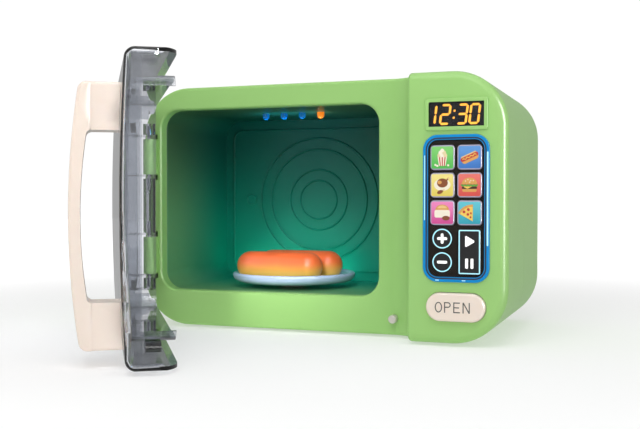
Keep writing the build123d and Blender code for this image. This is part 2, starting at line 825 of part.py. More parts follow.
with BuildPart() as keypad_bezel:
    with BuildSketch(facing(y_front - seat_gap / 2)):
        with Locations((panel_x, keypad_z)):
            RectangleRounded(keypad_w, keypad_h, keypad_r)
    extrude(amount=keypad_proud)
    fillet(keypad_bezel.faces().sort_by(Axis.Y)[0].edges(), display_lip)
    with BuildSketch(facing(sleeve_end)):
        with Locations((panel_x, keypad_z)):
            ring_w = bezel_opening_w - 2 * seat_gap
            ring_h = bezel_opening_h - 2 * seat_gap
            RectangleRounded(ring_w, ring_h, keypad_r - keypad_rim / 2 - seat_gap)
    extrude(amount=wall + keypad_proud / 2)
    with BuildSketch(facing(sleeve_end)):
        with Locations((panel_x, keypad_z)):
            well_w = keypad_plate_w + 2 * fit_gap
            well_h = keypad_plate_h + 2 * fit_gap
            RectangleRounded(well_w, well_h, keypad_plate_r + fit_gap)
    extrude(amount=wall + keypad_proud - lip_t, mode=Mode.SUBTRACT)
    with BuildSketch(facing(sleeve_end)):
        with Locations((panel_x, keypad_z)):
            lip_w = keypad_plate_w - 2 * lip_over
            lip_h = keypad_plate_h - 2 * lip_over
            RectangleRounded(lip_w, lip_h, keypad_plate_r - lip_over)
    extrude(amount=wall + keypad_proud + overrun, mode=Mode.SUBTRACT)
keypad_bezel.part.label = "keypad_bezel"
export_step(keypad_bezel.part, "parts/keypad_bezel.step")

with BuildPart() as keypad_plate:
    with BuildSketch(facing(plate_back)):
        with Locations((panel_x, keypad_z)):
            RectangleRounded(keypad_plate_w, keypad_plate_h, keypad_plate_r)
        with Locations(*[(x, z) for name, x, z in picture_keys]):
            RectangleRounded(key_w + 2 * fit_gap, key_w + 2 * fit_gap, key_r + fit_gap, mode=Mode.SUBTRACT)
        with Locations(*[(x, z) for name, x, z in small_keys]):
            Circle(small_key_r + fit_gap, mode=Mode.SUBTRACT)
        with Locations(bar_spot):
            RectangleRounded(bar_w + 2 * fit_gap, bar_h + 2 * fit_gap, key_r + fit_gap, mode=Mode.SUBTRACT)
    extrude(amount=plate_t)
keypad_plate.part.label = "keypad_plate"
export_step(keypad_plate.part, "parts/keypad_plate.step")

flange_front = plate_back + fit_gap
key_flange = key_w + 2 * flange_extra
cap_front = y_front - key_proud
for name, x, z in picture_keys:
    with BuildPart() as picture_key:
        with BuildSketch(facing(flange_front + key_flange_t)):
            with Locations((x, z)):
                RectangleRounded(key_flange, key_flange, key_r + flange_extra)
        extrude(amount=key_flange_t)
        with BuildSketch(facing(flange_front)):
            with Locations((x, z)):
                RectangleRounded(key_w, key_w, key_r)
        extrude(amount=flange_front - cap_front)
        fillet(picture_key.faces().sort_by(Axis.Y)[0].edges(), key_edge_r)
    picture_key.part.label = name
    export_step(picture_key.part, f"parts/{name}.step")

for name, x, z in small_keys:
    with BuildPart() as small_key:
        with BuildSketch(facing(flange_front + key_flange_t)):
            with Locations((x, z)):
                Circle(small_key_r + flange_extra)
        extrude(amount=key_flange_t)
        with BuildSketch(facing(flange_front)):
            with Locations((x, z)):
                Circle(small_key_r)
        extrude(amount=flange_front - cap_front)
        fillet(small_key.faces().sort_by(Axis.Y)[0].edges(), key_edge_r)
    small_key.part.label = name
    export_step(small_key.part, f"parts/{name}.step")

with BuildPart() as key_play_pause:
    with BuildSketch(facing(flange_front + key_flange_t)):
        with Locations(bar_spot):
            RectangleRounded(bar_w + 2 * flange_extra, bar_h + 2 * flange_extra, key_r + flange_extra)
    extrude(amount=key_flange_t)
    with BuildSketch(facing(flange_front)):
        with Locations(bar_spot):
            RectangleRounded(bar_w, bar_h, key_r)
    extrude(amount=flange_front - cap_front)
    fillet(key_play_pause.faces().sort_by(Axis.Y)[0].edges(), key_edge_r)
key_play_pause.part.label = "key_play_pause"
export_step(key_play_pause.part, "parts/key_play_pause.step")

with BuildPart() as key_membrane:
    with BuildSketch(facing(board_front - seat_gap / 2)):
        with Locations((panel_x, keypad_z)):
            membrane_w = keypad_plate_w - 2 * membrane_play
            membrane_h = keypad_plate_h - 2 * membrane_play
            RectangleRounded(membrane_w, membrane_h, keypad_plate_r)
    extrude(amount=membrane_t)
key_membrane.part.label = "key_membrane"
export_step(key_membrane.part, "parts/key_membrane.step")

chip_t = 2.4
chip_sizes = ((12.0, 12.0, 10.0), (7.0, 5.0, -22.0), (9.0, 6.0, 36.0))

with BuildPart() as circuit_board:
    with BuildSketch(facing(board_front + board_t)):
        with Locations((panel_x, board_z)):
            RectangleRounded(board_w, board_h, board_r)
    extrude(amount=board_t)
circuit_board.part.label = "circuit_board"
export_step(circuit_board.part, "parts/circuit_board.step")

with BuildPart() as board_chips:
    with BuildSketch(facing(board_front + board_t + chip_t)):
        for chip_w, chip_h, lift in chip_sizes:
            with Locations((panel_x, board_z + lift)):
                Rectangle(chip_w, chip_h)
    extrude(amount=chip_t)
board_chips.part.label = "board_chips"
export_step(board_chips.part, "parts/board_chips.step")

# Door release: button with its stem, rocker, push pin and two springs
button_proud = 3.2
button_edge_r = 1.6
button_flange_t = 1.5
button_flange_over = 1.5
stem_r = 2.0
push_pin_proud = 5.0
collar_r = 4.2
collar_t = 1.2
collar_set_back = 15.0
tip_r = 1.0
dome_r = 1.9
dome_gap = 0.4
rocker_t = 2.4
rocker_hub_r = 4.0
rocker_play = 0.08
rocker_over = 2.0
pin_spring_r = 3.4
button_spring_r = 3.6
spring_wire_r = 0.35
pin_spring_turns = 3
button_spring_turns = 5

button_flange_y = y_front + wall + fit_gap + button_flange_t
rocker_face = rocker_y - rocker_t / 2
dome_y = rocker_face - dome_gap - dome_r
collar_y = y_recess + collar_set_back

with BuildPart() as open_button:
    with BuildSketch(facing(button_flange_y - button_flange_t)):
        with Locations((panel_x, button_z)):
            SlotOverall(button_w, button_h)
    extrude(amount=wall + fit_gap + button_proud)
    fillet(open_button.faces().sort_by(Axis.Y)[0].edges(), button_edge_r)
    with BuildSketch(facing(button_flange_y)):
        with Locations((panel_x, button_z)):
            SlotOverall(button_w + 2 * button_flange_over, button_h + 2 * button_flange_over)
    extrude(amount=button_flange_t)
    with BuildSketch(facing(dome_y)):
        with Locations((stem_x, button_z)):
            Circle(stem_r)
    extrude(amount=dome_y - button_flange_y + button_flange_t / 2)
    with Locations((stem_x, dome_y, button_z)):
        Sphere(dome_r)
open_button.part.label = "open_button"
export_step(open_button.part, "parts/open_button.step")

with BuildPart() as open_rocker:
    with BuildSketch(level(rocker_low)):
        with Locations((rocker_x, rocker_y)):
            Rectangle(2 * (rocker_arm + rocker_over), rocker_t)
            Circle(rocker_hub_r)
            Circle(gear_post_r + rocker_play, mode=Mode.SUBTRACT)
    extrude(amount=rocker_high - rocker_low)
open_rocker.part.label = "open_rocker"
export_step(open_rocker.part, "parts/open_rocker.step")

with BuildPart() as push_pin:
    with BuildSketch(facing(collar_y)):
        with Locations((push_pin_x, push_pin_z)):
            Circle(push_pin_r)
    extrude(amount=collar_y - y_recess + push_pin_proud)
    fillet(push_pin.faces().sort_by(Axis.Y)[0].edges(), tip_r)
    with BuildSketch(facing(collar_y + collar_t)):
        with Locations((push_pin_x, push_pin_z)):
            Circle(collar_r)
    extrude(amount=collar_t)
    with BuildSketch(facing(dome_y)):
        with Locations((push_pin_x, push_pin_z)):
            Circle(stem_r)
    extrude(amount=dome_y - collar_y)
    with Locations((push_pin_x, dome_y, push_pin_z)):
        Sphere(dome_r)
push_pin.part.label = "push_pin"
export_step(push_pin.part, "parts/push_pin.step")

with BuildPart() as pin_spring:
    pin_spring_start = (push_pin_x, guide_end + seat_gap / 2, push_pin_z)
    pin_spring_len = collar_y - guide_end - seat_gap
    pin_wire = (pin_spring_r, spring_wire_r, pin_spring_turns, pin_spring_len)
    add(coil(pin_spring_start, (0, 1, 0), *pin_wire))
pin_spring.part.label = "pin_spring"
export_step(pin_spring.part, "parts/pin_spring.step")

with BuildPart() as button_spring:
    button_spring_start = (stem_x, button_flange_y + seat_gap / 2, button_z)
    button_spring_len = spring_rib_y - button_flange_y - seat_gap
    button_wire = (button_spring_r, spring_wire_r, button_spring_turns, button_spring_len)
    add(coil(button_spring_start, (0, 1, 0), *button_wire))
button_spring.part.label = "button_spring"
export_step(button_spring.part, "parts/button_spring.step")

# Door: crowned clear shell whose free end is left open behind its front band
screw_lift = 20.5
knuckle_cut_r = 10.8
knuckle_cut_play = 3.8
free_cut_depth = door_depth - free_wall_depth
free_cut_w = 24.0
handle_s = (handle_s0 + handle_s1) / 2
screw_spots = [(handle_s, z_low + screw_lift), (handle_s, z_high - screw_lift)]

with BuildPart() as door_window:
    add(door_block(0, door_edge_r))
    add(door_block(door_wall, door_edge_r - door_wall), mode=Mode.SUBTRACT)
    with BuildSketch(door_facing(free_cut_depth)):
        with Locations((door_right, z_mid)):
            Rectangle(free_cut_w, door_h - 2 * door_free_r)
    extrude(amount=-(free_cut_depth + door_in + overrun), mode=Mode.SUBTRACT)
    # Round clearance that lets the door's edge pass the housing's side at full swing
    with BuildSketch(door_level(lugs[0][0] - knuckle_cut_play)):
        Circle(knuckle_cut_r)
        Rectangle(2 * knuckle_cut_r, 2 * knuckle_cut_r, align=(Align.MIN, Align.CENTER), mode=Mode.SUBTRACT)
    extrude(amount=lugs[2][1] - lugs[0][0] + 2 * knuckle_cut_play, mode=Mode.SUBTRACT)
    with BuildSketch(door_level(door_low - overrun)):
        Rectangle(2 * hinge_set_in, 2 * hinge_set_in, align=(Align.MAX, Align.MIN))
    extrude(amount=door_h + 2 * overrun, mode=Mode.SUBTRACT)
    with BuildSketch(door_facing(free_cut_depth)):
        with Locations(*screw_spots):
            Circle(screw_r + fit_gap)
    extrude(amount=door_depth, mode=Mode.SUBTRACT)
door_window.part.label = "door_window"
export_step(door_window.part, "parts/door_window.step")

# Inner frame of the door: ring wall, hinge barrels, gussets and the bar that the pin pushes
frame_hinge_inset = 4.6
frame_free_inset = 18.3
frame_lift = 12.2
frame_drop = 11.6
frame_r = 12.0
frame_t = 1.6
frame_tab_lift = 18.4
frame_tab_drop = 18.0
lug_out = 1.0
lug_len = 6.0
gusset_t = 1.2
gusset_back = 2.0
gusset_reach = 7.0
gusset_top = 21.5
gusset_step = 9.5
gusset_drop = 0.4
striker_inset = 11.7
striker_w = 22.0
striker_set_out = 4.0
striker_t = 8.0
striker_lift = 8.9

gusset_levels = [
    lugs[0][0] - gusset_drop,
    lower_knuckle[0] - pin_gap / 2,
    lower_knuckle[1] + pin_gap / 2,
    upper_knuckle[0] - pin_gap / 2,
    upper_knuckle[1] + pin_gap / 2,
]
frame_s0 = frame_hinge_inset
frame_s1 = door_right - frame_free_inset
frame_z0 = z_low + frame_lift
frame_z1 = z_high - frame_drop
frame_mid = ((frame_s0 + frame_s1) / 2, (frame_z0 + frame_z1) / 2)

with BuildPart() as door_frame:
    with BuildSketch(door_facing(-door_in)):
        with Locations(frame_mid):
            RectangleRounded(frame_s1 - frame_s0, frame_z1 - frame_z0, frame_r)
            RectangleRounded(
                frame_s1 - frame_s0 - 2 * frame_t,
                frame_z1 - frame_z0 - 2 * frame_t,
                frame_r - frame_t,
                mode=Mode.SUBTRACT,
            )
    extrude(amount=door_in + door_depth + overrun)
    for gusset_z in gusset_levels:
        with BuildSketch(door_level(gusset_z)):
            with BuildLine():
                Polyline(
                    (0, gusset_back),
                    (gusset_reach, gusset_back),
                    (gusset_reach, -gusset_top),
                    (-hinge_set_in + door_wall + fit_gap, -gusset_top),
                    (-hinge_set_in + door_wall + fit_gap, -gusset_step),
                    (0, -gusset_step),
                    (0, gusset_back),
                )
            make_face()
        extrude(amount=gusset_t)
    for low, high in lugs:
        with BuildSketch(door_level(low)):
            Circle(barrel_r)
            with Locations((0, barrel_r)):
                Rectangle(lug_len, barrel_r + lug_out, align=(Align.MIN, Align.MAX))
        extrude(amount=high - low)
    with BuildSketch(door_level(z_low + striker_lift)):
        with Locations((door_right - striker_inset - striker_w / 2, -striker_set_out - striker_t / 2)):
            Rectangle(striker_w, striker_t)
    extrude(amount=frame_lift + frame_t - striker_lift)
    add(door_block(door_wall + seat_gap, door_edge_r - door_wall), mode=Mode.INTERSECT)
    with BuildSketch(door_facing(free_cut_depth)):
        with BuildLine():
            cut_low = frame_z0 + frame_tab_lift - frame_lift
            cut_high = frame_z1 - frame_tab_drop + frame_drop
            Polyline(
                (frame_s1 - frame_r, cut_low),
                (frame_s1 + frame_r, cut_low),
                (frame_s1 + frame_r, cut_high),
                (frame_s1 - frame_r, cut_high),
                (frame_s1 - frame_r, cut_low),
            )
        make_face()
    extrude(amount=-(free_cut_depth + door_in + overrun), mode=Mode.SUBTRACT)
    with BuildSketch(door_level(z_low)):
        Circle(hinge_pin_r + running_gap)
    extrude(amount=height, mode=Mode.SUBTRACT)
door_frame.part.label = "door_frame"
export_step(door_frame.part, "parts/door_frame.step")

# Handle: bowed grip on two posts
handle_lift = 7.8
handle_drop = 15.7
handle_post_h = 25.4
handle_end_depth = 45.2
handle_mid_depth = 50.8
grip_end_depth = 41.2
grip_mid_depth = 44.7
handle_corner_r = 5.0
grip_corner_r = 3.0
handle_edge_r = 1.8
handle_sink = 4.0
handle_shank_len = 12.0
screw_seat_depth = door_depth - door_wall + pane_play

handle_z0 = z_low + handle_lift
handle_z1 = z_high - handle_drop
handle_z = (handle_z0 + handle_z1) / 2
grip_z0 = handle_z0 + handle_post_h
grip_z1 = handle_z1 - handle_post_h
handle_root = door_depth - handle_sink

with BuildPart() as door_handle:
    with BuildSketch(door_side(handle_s1)) as handle_side:
        with BuildLine():
            outer = ThreePointArc(
                (handle_end_depth, handle_z0),
                (handle_mid_depth, handle_z),
                (handle_end_depth, handle_z1),
            )
            Polyline(outer @ 1, (handle_root, handle_z1), (handle_root, handle_z0), outer @ 0)
        make_face()
        fillet(handle_side.vertices().sort_by(Axis.X)[-2:], handle_corner_r)
    extrude(amount=handle_s1 - handle_s0)
    side_faces = door_handle.faces().sort_by(lambda face: (face.center() - hinge_line).dot(along))
    handle_rims = [
        edge
        for face in (side_faces[0], side_faces[-1])
        for edge in face.edges()
        if (edge.center() - hinge_line).dot(outward) > handle_root + seat_gap
    ]
    fillet(handle_rims, handle_edge_r)
    with BuildSketch(door_side(handle_s1 + overrun)) as grip_side:
        with BuildLine():
            grip = ThreePointArc(
                (grip_end_depth, grip_z0),
                (grip_mid_depth, handle_z),
                (grip_end_depth, grip_z1),
            )
            Polyline(grip @ 1, (handle_root - overrun, grip_z1), (handle_root - overrun, grip_z0), grip @ 0)
        make_face()
        fillet(grip_side.vertices().sort_by(Axis.X)[-2:], grip_corner_r)
    extrude(amount=handle_s1 - handle_s0 + 2 * overrun, mode=Mode.SUBTRACT)
    with BuildSketch(door_side(handle_s1 + overrun)):
        with Locations((crown_centre, z_mid)):
            Circle(crown_r + seat_gap)
    extrude(amount=handle_s1 - handle_s0 + 2 * overrun, mode=Mode.SUBTRACT)
    with BuildSketch(door_facing(handle_root)):
        with Locations(*screw_spots):
            Circle(pilot_r)
    extrude(amount=screw_seat_depth + handle_shank_len + fit_gap - handle_root, mode=Mode.SUBTRACT)
door_handle.part.label = "door_handle"
export_step(door_handle.part, "parts/door_handle.step")

with BuildPart() as handle_screws:
    with BuildSketch(door_facing(screw_seat_depth)):
        with Locations(*screw_spots):
            Circle(head_r)
    extrude(amount=-head_t)
    with BuildSketch(door_facing(screw_seat_depth)):
        with Locations(*screw_spots):
            Circle(screw_r)
    extrude(amount=handle_shank_len)
handle_screws.part.label = "handle_screws"
export_step(handle_screws.part, "parts/handle_screws.step")

pin_bite = 8.0
pin_spans = [
    (lower_knuckle[0] - pin_gap - end_barrel + pin_gap / 2, lower_knuckle[1] + pin_gap + pin_bite),
    (upper_knuckle[0] - pin_gap - pin_bite, upper_knuckle[1] + pin_gap + end_barrel - pin_gap / 2),
]
with BuildPart() as hinge_pins:
    for low, high in pin_spans:
        with BuildSketch(door_level(low)):
            Circle(hinge_pin_r)
        extrude(amount=high - low)
hinge_pins.part.label = "hinge_pins"
export_step(hinge_pins.part, "parts/hinge_pins.step")

# Turntable: plate, hub through the cavity floor and the driven gear
plate_h = 7.2
plate_floor_t = 2.0
plate_flare = 8.5
plate_rim_w = 1.6
plate_bow = 0.9
plate_foot_r = turntable_r - plate_flare
hub_disc_r = 10.0
hub_disc_t = 2.9
hub_low = 18.2
hex_r = 3.6
hex_play = 0.08
hex_len = 5.0
gear_module = 1.0
gear_teeth = 40
pinion_teeth = 12
addendum = 0.8
dedendum = 1.1
backlash = 0.25
pressure = math.radians(20)


def involute(radius, base_r):
    """Involute angle at a radius, in radians."""
    ratio = max(radius / base_r, 1)
    return math.sqrt(ratio**2 - 1) - math.acos(1 / ratio)


def gear_outline(teeth, offset):
    """Closed outline of a spur gear, its first tooth at offset degrees."""
    pitch_r = teeth * gear_module / 2
    base_r = pitch_r * math.cos(pressure)
    root_r = pitch_r - dedendum
    tip_r = pitch_r + addendum
    flank = [root_r, pitch_r, (pitch_r + tip_r) / 2, tip_r]
    if base_r > root_r:
        flank.insert(1, base_r)
    half_tooth = (math.pi * gear_module / 2 - backlash / 2) / (2 * pitch_r) + involute(pitch_r, base_r)
    points = []
    for index in range(teeth):
        middle = math.radians(offset) + 2 * math.pi * index / teeth
        rising = [(radius, middle - half_tooth + involute(radius, base_r)) for radius in flank]
        falling = [(radius, middle + half_tooth - involute(radius, base_r)) for radius in reversed(flank)]
        tooth = rising + falling
        points += [(radius * math.cos(angle), radius * math.sin(angle)) for radius, angle in tooth]
    return points + points[:1]


with BuildPart() as turntable_plate:
    with BuildSketch(Plane(origin=(cavity_x, turntable_y, 0), x_dir=(1, 0, 0), z_dir=(0, -1, 0))):
        with BuildLine():
            rim_z = plate_z + plate_h
            dish_z = plate_z + plate_floor_t
            rim_in = turntable_r - plate_rim_w
            dish_r = plate_foot_r - plate_bow
            bow_z = (plate_z + rim_z) / 2 - plate_bow
            Polyline((0, dish_z), (0, plate_z), (plate_foot_r, plate_z))
            ThreePointArc(
                (plate_foot_r, plate_z),
                ((plate_foot_r + turntable_r) / 2 + plate_bow, bow_z),
                (turntable_r, rim_z),
            )
            Line((turntable_r, rim_z), (rim_in, rim_z))
            ThreePointArc(
                (rim_in, rim_z),
                ((dish_r + rim_in) / 2 + plate_bow, bow_z + plate_floor_t),
                (dish_r, dish_z),
            )
            Line((dish_r, dish_z), (0, dish_z))
        make_face()
    revolve(axis=Axis((cavity_x, turntable_y, 0), (0, 0, 1)))
turntable_plate.part.label = "turntable_plate"
export_step(turntable_plate.part, "parts/turntable_plate.step")

hub_disc_z = plate_z - seat_gap / 2 - hub_disc_t
with BuildPart() as drive_hub:
    with BuildSketch(level(hub_disc_z)):
        with Locations((cavity_x, turntable_y)):
            Circle(hub_disc_r)
    extrude(amount=hub_disc_t)
    with BuildSketch(level(hub_low)):
        with Locations((cavity_x, turntable_y)):
            Circle(hub_r)
    extrude(amount=hub_disc_z - hub_low)
    with BuildSketch(level(hub_low)):
        with Locations((cavity_x, turntable_y)):
            RegularPolygon(hex_r + hex_play, 6)
    extrude(amount=hex_len + seat_gap, mode=Mode.SUBTRACT)
drive_hub.part.label = "drive_hub"
export_step(drive_hub.part, "parts/drive_hub.step")

with BuildPart() as drive_gear:
    with BuildSketch(level(gear_foot)):
        with BuildLine(Plane.XY.move(Location((cavity_x, turntable_y, 0)))):
            Polyline(*gear_outline(gear_teeth, 0))
        make_face()
    extrude(amount=gear_h)
    with BuildSketch(level(gear_foot + gear_h)):
        with Locations((cavity_x, turntable_y)):
            RegularPolygon(hex_r, 6)
    extrude(amount=hex_len)
    with BuildSketch(level(gear_foot)):
        with Locations((cavity_x, turntable_y)):
            Circle(gear_post_r + rocker_play)
    extrude(amount=gear_h, mode=Mode.SUBTRACT)
drive_gear.part.label = "drive_gear"
export_step(drive_gear.part, "parts/drive_gear.step")

# Motor and its pinion
motor_r = 11.0
motor_h = 6.4
motor_shaft_r = 1.0
motor_x = cavity_x + gear_module * (gear_teeth + pinion_teeth) / 2
motor_z = base_z1 + seat_gap
pinion_offset = 180 / pinion_teeth

with BuildPart() as turntable_motor:
    with BuildSketch(level(motor_z)):
        with Locations((motor_x, turntable_y)):
            Circle(motor_r)
    extrude(amount=motor_h)
    with BuildSketch(level(motor_z)):
        with Locations((motor_x, turntable_y)):
            Circle(motor_shaft_r)
    extrude(amount=gear_foot + gear_h + post_top_gap - motor_z)
turntable_motor.part.label = "turntable_motor"
export_step(turntable_motor.part, "parts/turntable_motor.step")

with BuildPart() as motor_pinion:
    with BuildSketch(level(gear_foot)):
        with BuildLine(Plane.XY.move(Location((motor_x, turntable_y, 0)))):
            Polyline(*gear_outline(pinion_teeth, pinion_offset))
        make_face()
        with Locations((motor_x, turntable_y)):
            Circle(motor_shaft_r + running_gap, mode=Mode.SUBTRACT)
    extrude(amount=gear_h)
motor_pinion.part.label = "motor_pinion"
export_step(motor_pinion.part, "parts/motor_pinion.step")

# Play sausages that lie on the plate
sausage_bow = 1.5
sausage_flat = 0.5
sausage_r_share = 0.23
sausage_len_share = 1.46
sausage_places = (("sausage_front", -0.146, -0.243), ("sausage_back", 0.022, 0.256))
sausage_r = sausage_r_share * turntable_r
sausage_len = sausage_len_share * turntable_r
sausage_z = plate_z + plate_floor_t + seat_gap + sausage_r - sausage_flat

for name, share_x, share_y in sausage_places:
    with BuildPart() as sausage:
        with BuildLine() as spine:
            reach = sausage_len / 2 - sausage_r
            middle_x = cavity_x + share_x * turntable_r
            middle_y = turntable_y + share_y * turntable_r
            ThreePointArc(
                (middle_x - reach, middle_y - sausage_bow, sausage_z),
                (middle_x, middle_y + sausage_bow / 2, sausage_z),
                (middle_x + reach, middle_y - sausage_bow, sausage_z),
            )
        with BuildSketch(Plane(origin=spine.line @ 0, z_dir=spine.line % 0)):
            Circle(sausage_r)
        sweep()
        with Locations(spine.line @ 0, spine.line @ 1):
            Sphere(sausage_r)
        with BuildSketch(level(sausage_z - 2 * sausage_r)):
            with Locations((middle_x, middle_y)):
                Rectangle(2 * sausage_len, 2 * sausage_len)
        extrude(amount=sausage_r + sausage_flat, mode=Mode.SUBTRACT)
    sausage.part.label = name
    export_step(sausage.part, f"parts/{name}.step")

# Lamps of the cavity on their board
led_board_side = 13.7
led_board_w = 3 * led_pitch + 2 * led_board_side
led_board_d = 9.0
led_board_t = 1.4
led_drop = 1.9
led_board_z = cavity_z1 + liner_t + led_foot_h + seat_gap / 2

with BuildPart() as led_board:
    with BuildSketch(level(led_board_z)):
        with Locations(((led_spots[0][0] + led_spots[-1][0]) / 2, led_y)):
            Rectangle(led_board_w, led_board_d)
    extrude(amount=led_board_t)
led_board.part.label = "led_board"
export_step(led_board.part, "parts/led_board.step")

for name, spots in (("cavity_leds_blue", led_spots[:3]), ("cavity_led_orange", led_spots[3:])):
    with BuildPart() as lamps:
        with BuildSketch(level(cavity_z1 - led_drop)):
            with Locations(*spots):
                Circle(led_r)
        extrude(amount=led_board_z - seat_gap / 2 - cavity_z1 + led_drop)
        with Locations(*[(x, y, cavity_z1 - led_drop) for x, y in spots]):
            Sphere(led_r)
    lamps.part.label = name
    export_step(lamps.part, f"parts/{name}.step")

# Speaker behind its slots
speaker_flange_t = 1.2
speaker_cone_r = 9.0
speaker_depth = 8.2
speaker_back = y_back - wall - fit_gap

with BuildPart() as speaker:
    with BuildSketch(facing(speaker_back)):
        with Locations((speaker_x, speaker_z)):
            Circle(speaker_r)
            Circle(speaker_r - speaker_flange_t, mode=Mode.SUBTRACT)
    extrude(amount=2 * speaker_flange_t)
    with BuildSketch(facing(speaker_back - speaker_flange_t)):
        with Locations((speaker_x, speaker_z)):
            Circle(speaker_r)
    extrude(amount=speaker_flange_t)
    with BuildSketch(facing(speaker_back - speaker_flange_t)):
        with Locations((speaker_x, speaker_z)):
            Circle(speaker_cone_r)
    extrude(amount=speaker_depth - speaker_flange_t)
speaker.part.label = "speaker"
export_step(speaker.part, "parts/speaker.step")

# Batteries in their box, with the cover and its screw
box_depth = 18.4
box_end_play = 0.3
cell_back_drop = 1.1

box_back = y_back - wall - seat_gap
cell_y = box_back - cell_r - cell_back_drop
bay_z0 = battery_z - hatch_h / 2 + box_wall
bay_z1 = battery_z + hatch_h / 2 - box_top
bay_z = (bay_z0 + bay_z1) / 2
cell_rows = [(cell_y, bay_z + row * cell_pitch) for row in (-1, 0, 1)]
cover_screw_z = battery_z + hatch_h / 2 - box_top / 2 - post_top_gap
cell_left = battery_x - cell_len / 2

with BuildPart() as battery_box:
    with BuildSketch(facing(box_back)):
        with Locations((battery_x, battery_z)):
            RectangleRounded(hatch_w, hatch_h, hatch_r)
    extrude(amount=box_depth)
    with BuildSketch(facing(box_back)):
        with Locations((battery_x, bay_z)):
            Rectangle(cell_len + box_wall, bay_z1 - bay_z0)
    extrude(amount=box_back - cell_y, mode=Mode.SUBTRACT)
    with BuildSketch(Plane.YZ.offset(cell_left - box_end_play)):
        with Locations(*cell_rows):
            Circle(cell_r + seat_gap)
    extrude(amount=cell_len + 2 * box_end_play, mode=Mode.SUBTRACT)
    with BuildSketch(facing(box_back)):
        with Locations((battery_x, cover_screw_z)):
            Circle(pilot_r)
    extrude(amount=pilot_depth, mode=Mode.SUBTRACT)
battery_box.part.label = "battery_box"
export_step(battery_box.part, "parts/battery_box.step")

with BuildPart() as batteries:
    with BuildSketch(Plane.YZ.offset(cell_left)):
        with Locations(*cell_rows):
            Circle(cell_r)
    extrude(amount=cell_len - tip_r)
    with BuildSketch(Plane.YZ.offset(cell_left)):
        with Locations(*cell_rows):
            Circle(cell_r / 3)
    extrude(amount=cell_len)
batteries.part.label = "batteries"
export_step(batteries.part, "parts/batteries.step")

with BuildPart() as battery_door:
    with BuildSketch(facing(y_back)):
        with Locations((battery_x, battery_z)):
            RectangleRounded(hatch_w, hatch_h, hatch_r - fit_gap)
    extrude(amount=hatch_t - seat_gap / 2)
    with BuildSketch(facing(y_back)):
        with Locations((battery_x, cover_screw_z)):
            Circle(screw_r + fit_gap)
    extrude(amount=wall, mode=Mode.SUBTRACT)
battery_door.part.label = "battery_door"
export_step(battery_door.part, "parts/battery_door.step")

cover_head_t = 1.2
with BuildPart() as battery_door_screw:
    cover_seat = (0, y_back + seat_gap / 2, 0)
    add(screws([(battery_x, cover_screw_z)], cover_seat, pilot_depth, cover_head_t, (0, 1, 0)))
battery_door_screw.part.label = "battery_door_screw"
export_step(battery_door_screw.part, "parts/battery_door_screw.step")

# Power switch: body behind the wall and the knob that slides in its slot
switch_w = 24.0
switch_h = 10.0
switch_depth = 7.0
switch_well_depth = 3.0
switch_side_play = 0.4
knob_w = 5.8
knob_h = 4.4
knob_proud = 1.2
switch_travel = 4.0
switch_back = y_back - wall - seat_gap

with BuildPart() as power_switch_body:
    with BuildSketch(facing(switch_back)):
        with Locations((switch_x, switch_z)):
            Rectangle(switch_w, switch_h)
    extrude(amount=switch_depth)
    with BuildSketch(facing(switch_back)):
        with Locations((switch_x, switch_z)):
            Rectangle(switch_slot_w, knob_h + 2 * switch_side_play)
    extrude(amount=switch_well_depth, mode=Mode.SUBTRACT)
power_switch_body.part.label = "power_switch_body"
export_step(power_switch_body.part, "parts/power_switch_body.step")

with BuildPart() as power_switch_knob:
    knob_front = switch_back - switch_well_depth + seat_gap
    with BuildSketch(facing(y_back + knob_proud)):
        with Locations((switch_x - switch_travel / 2, switch_z)):
            Rectangle(knob_w, knob_h)
    extrude(amount=y_back + knob_proud - knob_front)
power_switch_knob.part.label = "power_switch_knob"
export_step(power_switch_knob.part, "parts/power_switch_knob.step")
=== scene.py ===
import json
import logging
import math
from contextlib import contextmanager
from dataclasses import dataclass, field
from enum import Enum
from typing import Any, Iterator, Sequence

import bmesh
import bpy
from mathutils import Matrix, Vector


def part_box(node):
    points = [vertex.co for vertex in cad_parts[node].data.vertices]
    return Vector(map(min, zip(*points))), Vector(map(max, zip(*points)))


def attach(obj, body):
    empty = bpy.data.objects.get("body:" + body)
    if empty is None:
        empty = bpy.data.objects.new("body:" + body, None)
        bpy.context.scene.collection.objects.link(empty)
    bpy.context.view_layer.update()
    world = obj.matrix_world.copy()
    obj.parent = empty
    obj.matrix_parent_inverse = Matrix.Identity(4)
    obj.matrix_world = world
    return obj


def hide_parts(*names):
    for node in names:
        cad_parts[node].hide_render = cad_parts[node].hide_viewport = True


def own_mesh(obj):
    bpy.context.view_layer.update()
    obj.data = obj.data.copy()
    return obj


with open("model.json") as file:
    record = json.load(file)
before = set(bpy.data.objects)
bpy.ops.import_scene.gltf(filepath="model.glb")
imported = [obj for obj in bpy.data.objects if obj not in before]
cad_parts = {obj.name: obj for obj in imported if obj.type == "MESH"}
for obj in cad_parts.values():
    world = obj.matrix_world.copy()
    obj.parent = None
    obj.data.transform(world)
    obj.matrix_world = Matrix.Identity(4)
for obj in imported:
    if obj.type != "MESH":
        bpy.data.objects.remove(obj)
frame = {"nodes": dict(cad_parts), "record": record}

log = logging.getLogger("toy_microwave")
MM = 0.001
WELD = 0.002 * MM
CREASE_DEG = 28.0
CREASE_BAKED_DEG = 30.0
ABS_IOR = 1.53
IMAGE_WIDTH_PX = 640
EVEN_WHITE = (1.0, 1.0, 1.0, 1.0)
Point = tuple[float, float]
Triple = tuple[float, float, float]
Faces = list[tuple[int, ...]]
Lattice = tuple[list[Vector], Faces]
Tree = bpy.types.NodeTree
Socket = bpy.types.NodeSocket
Mesh = bpy.types.Mesh
Object = bpy.types.Object


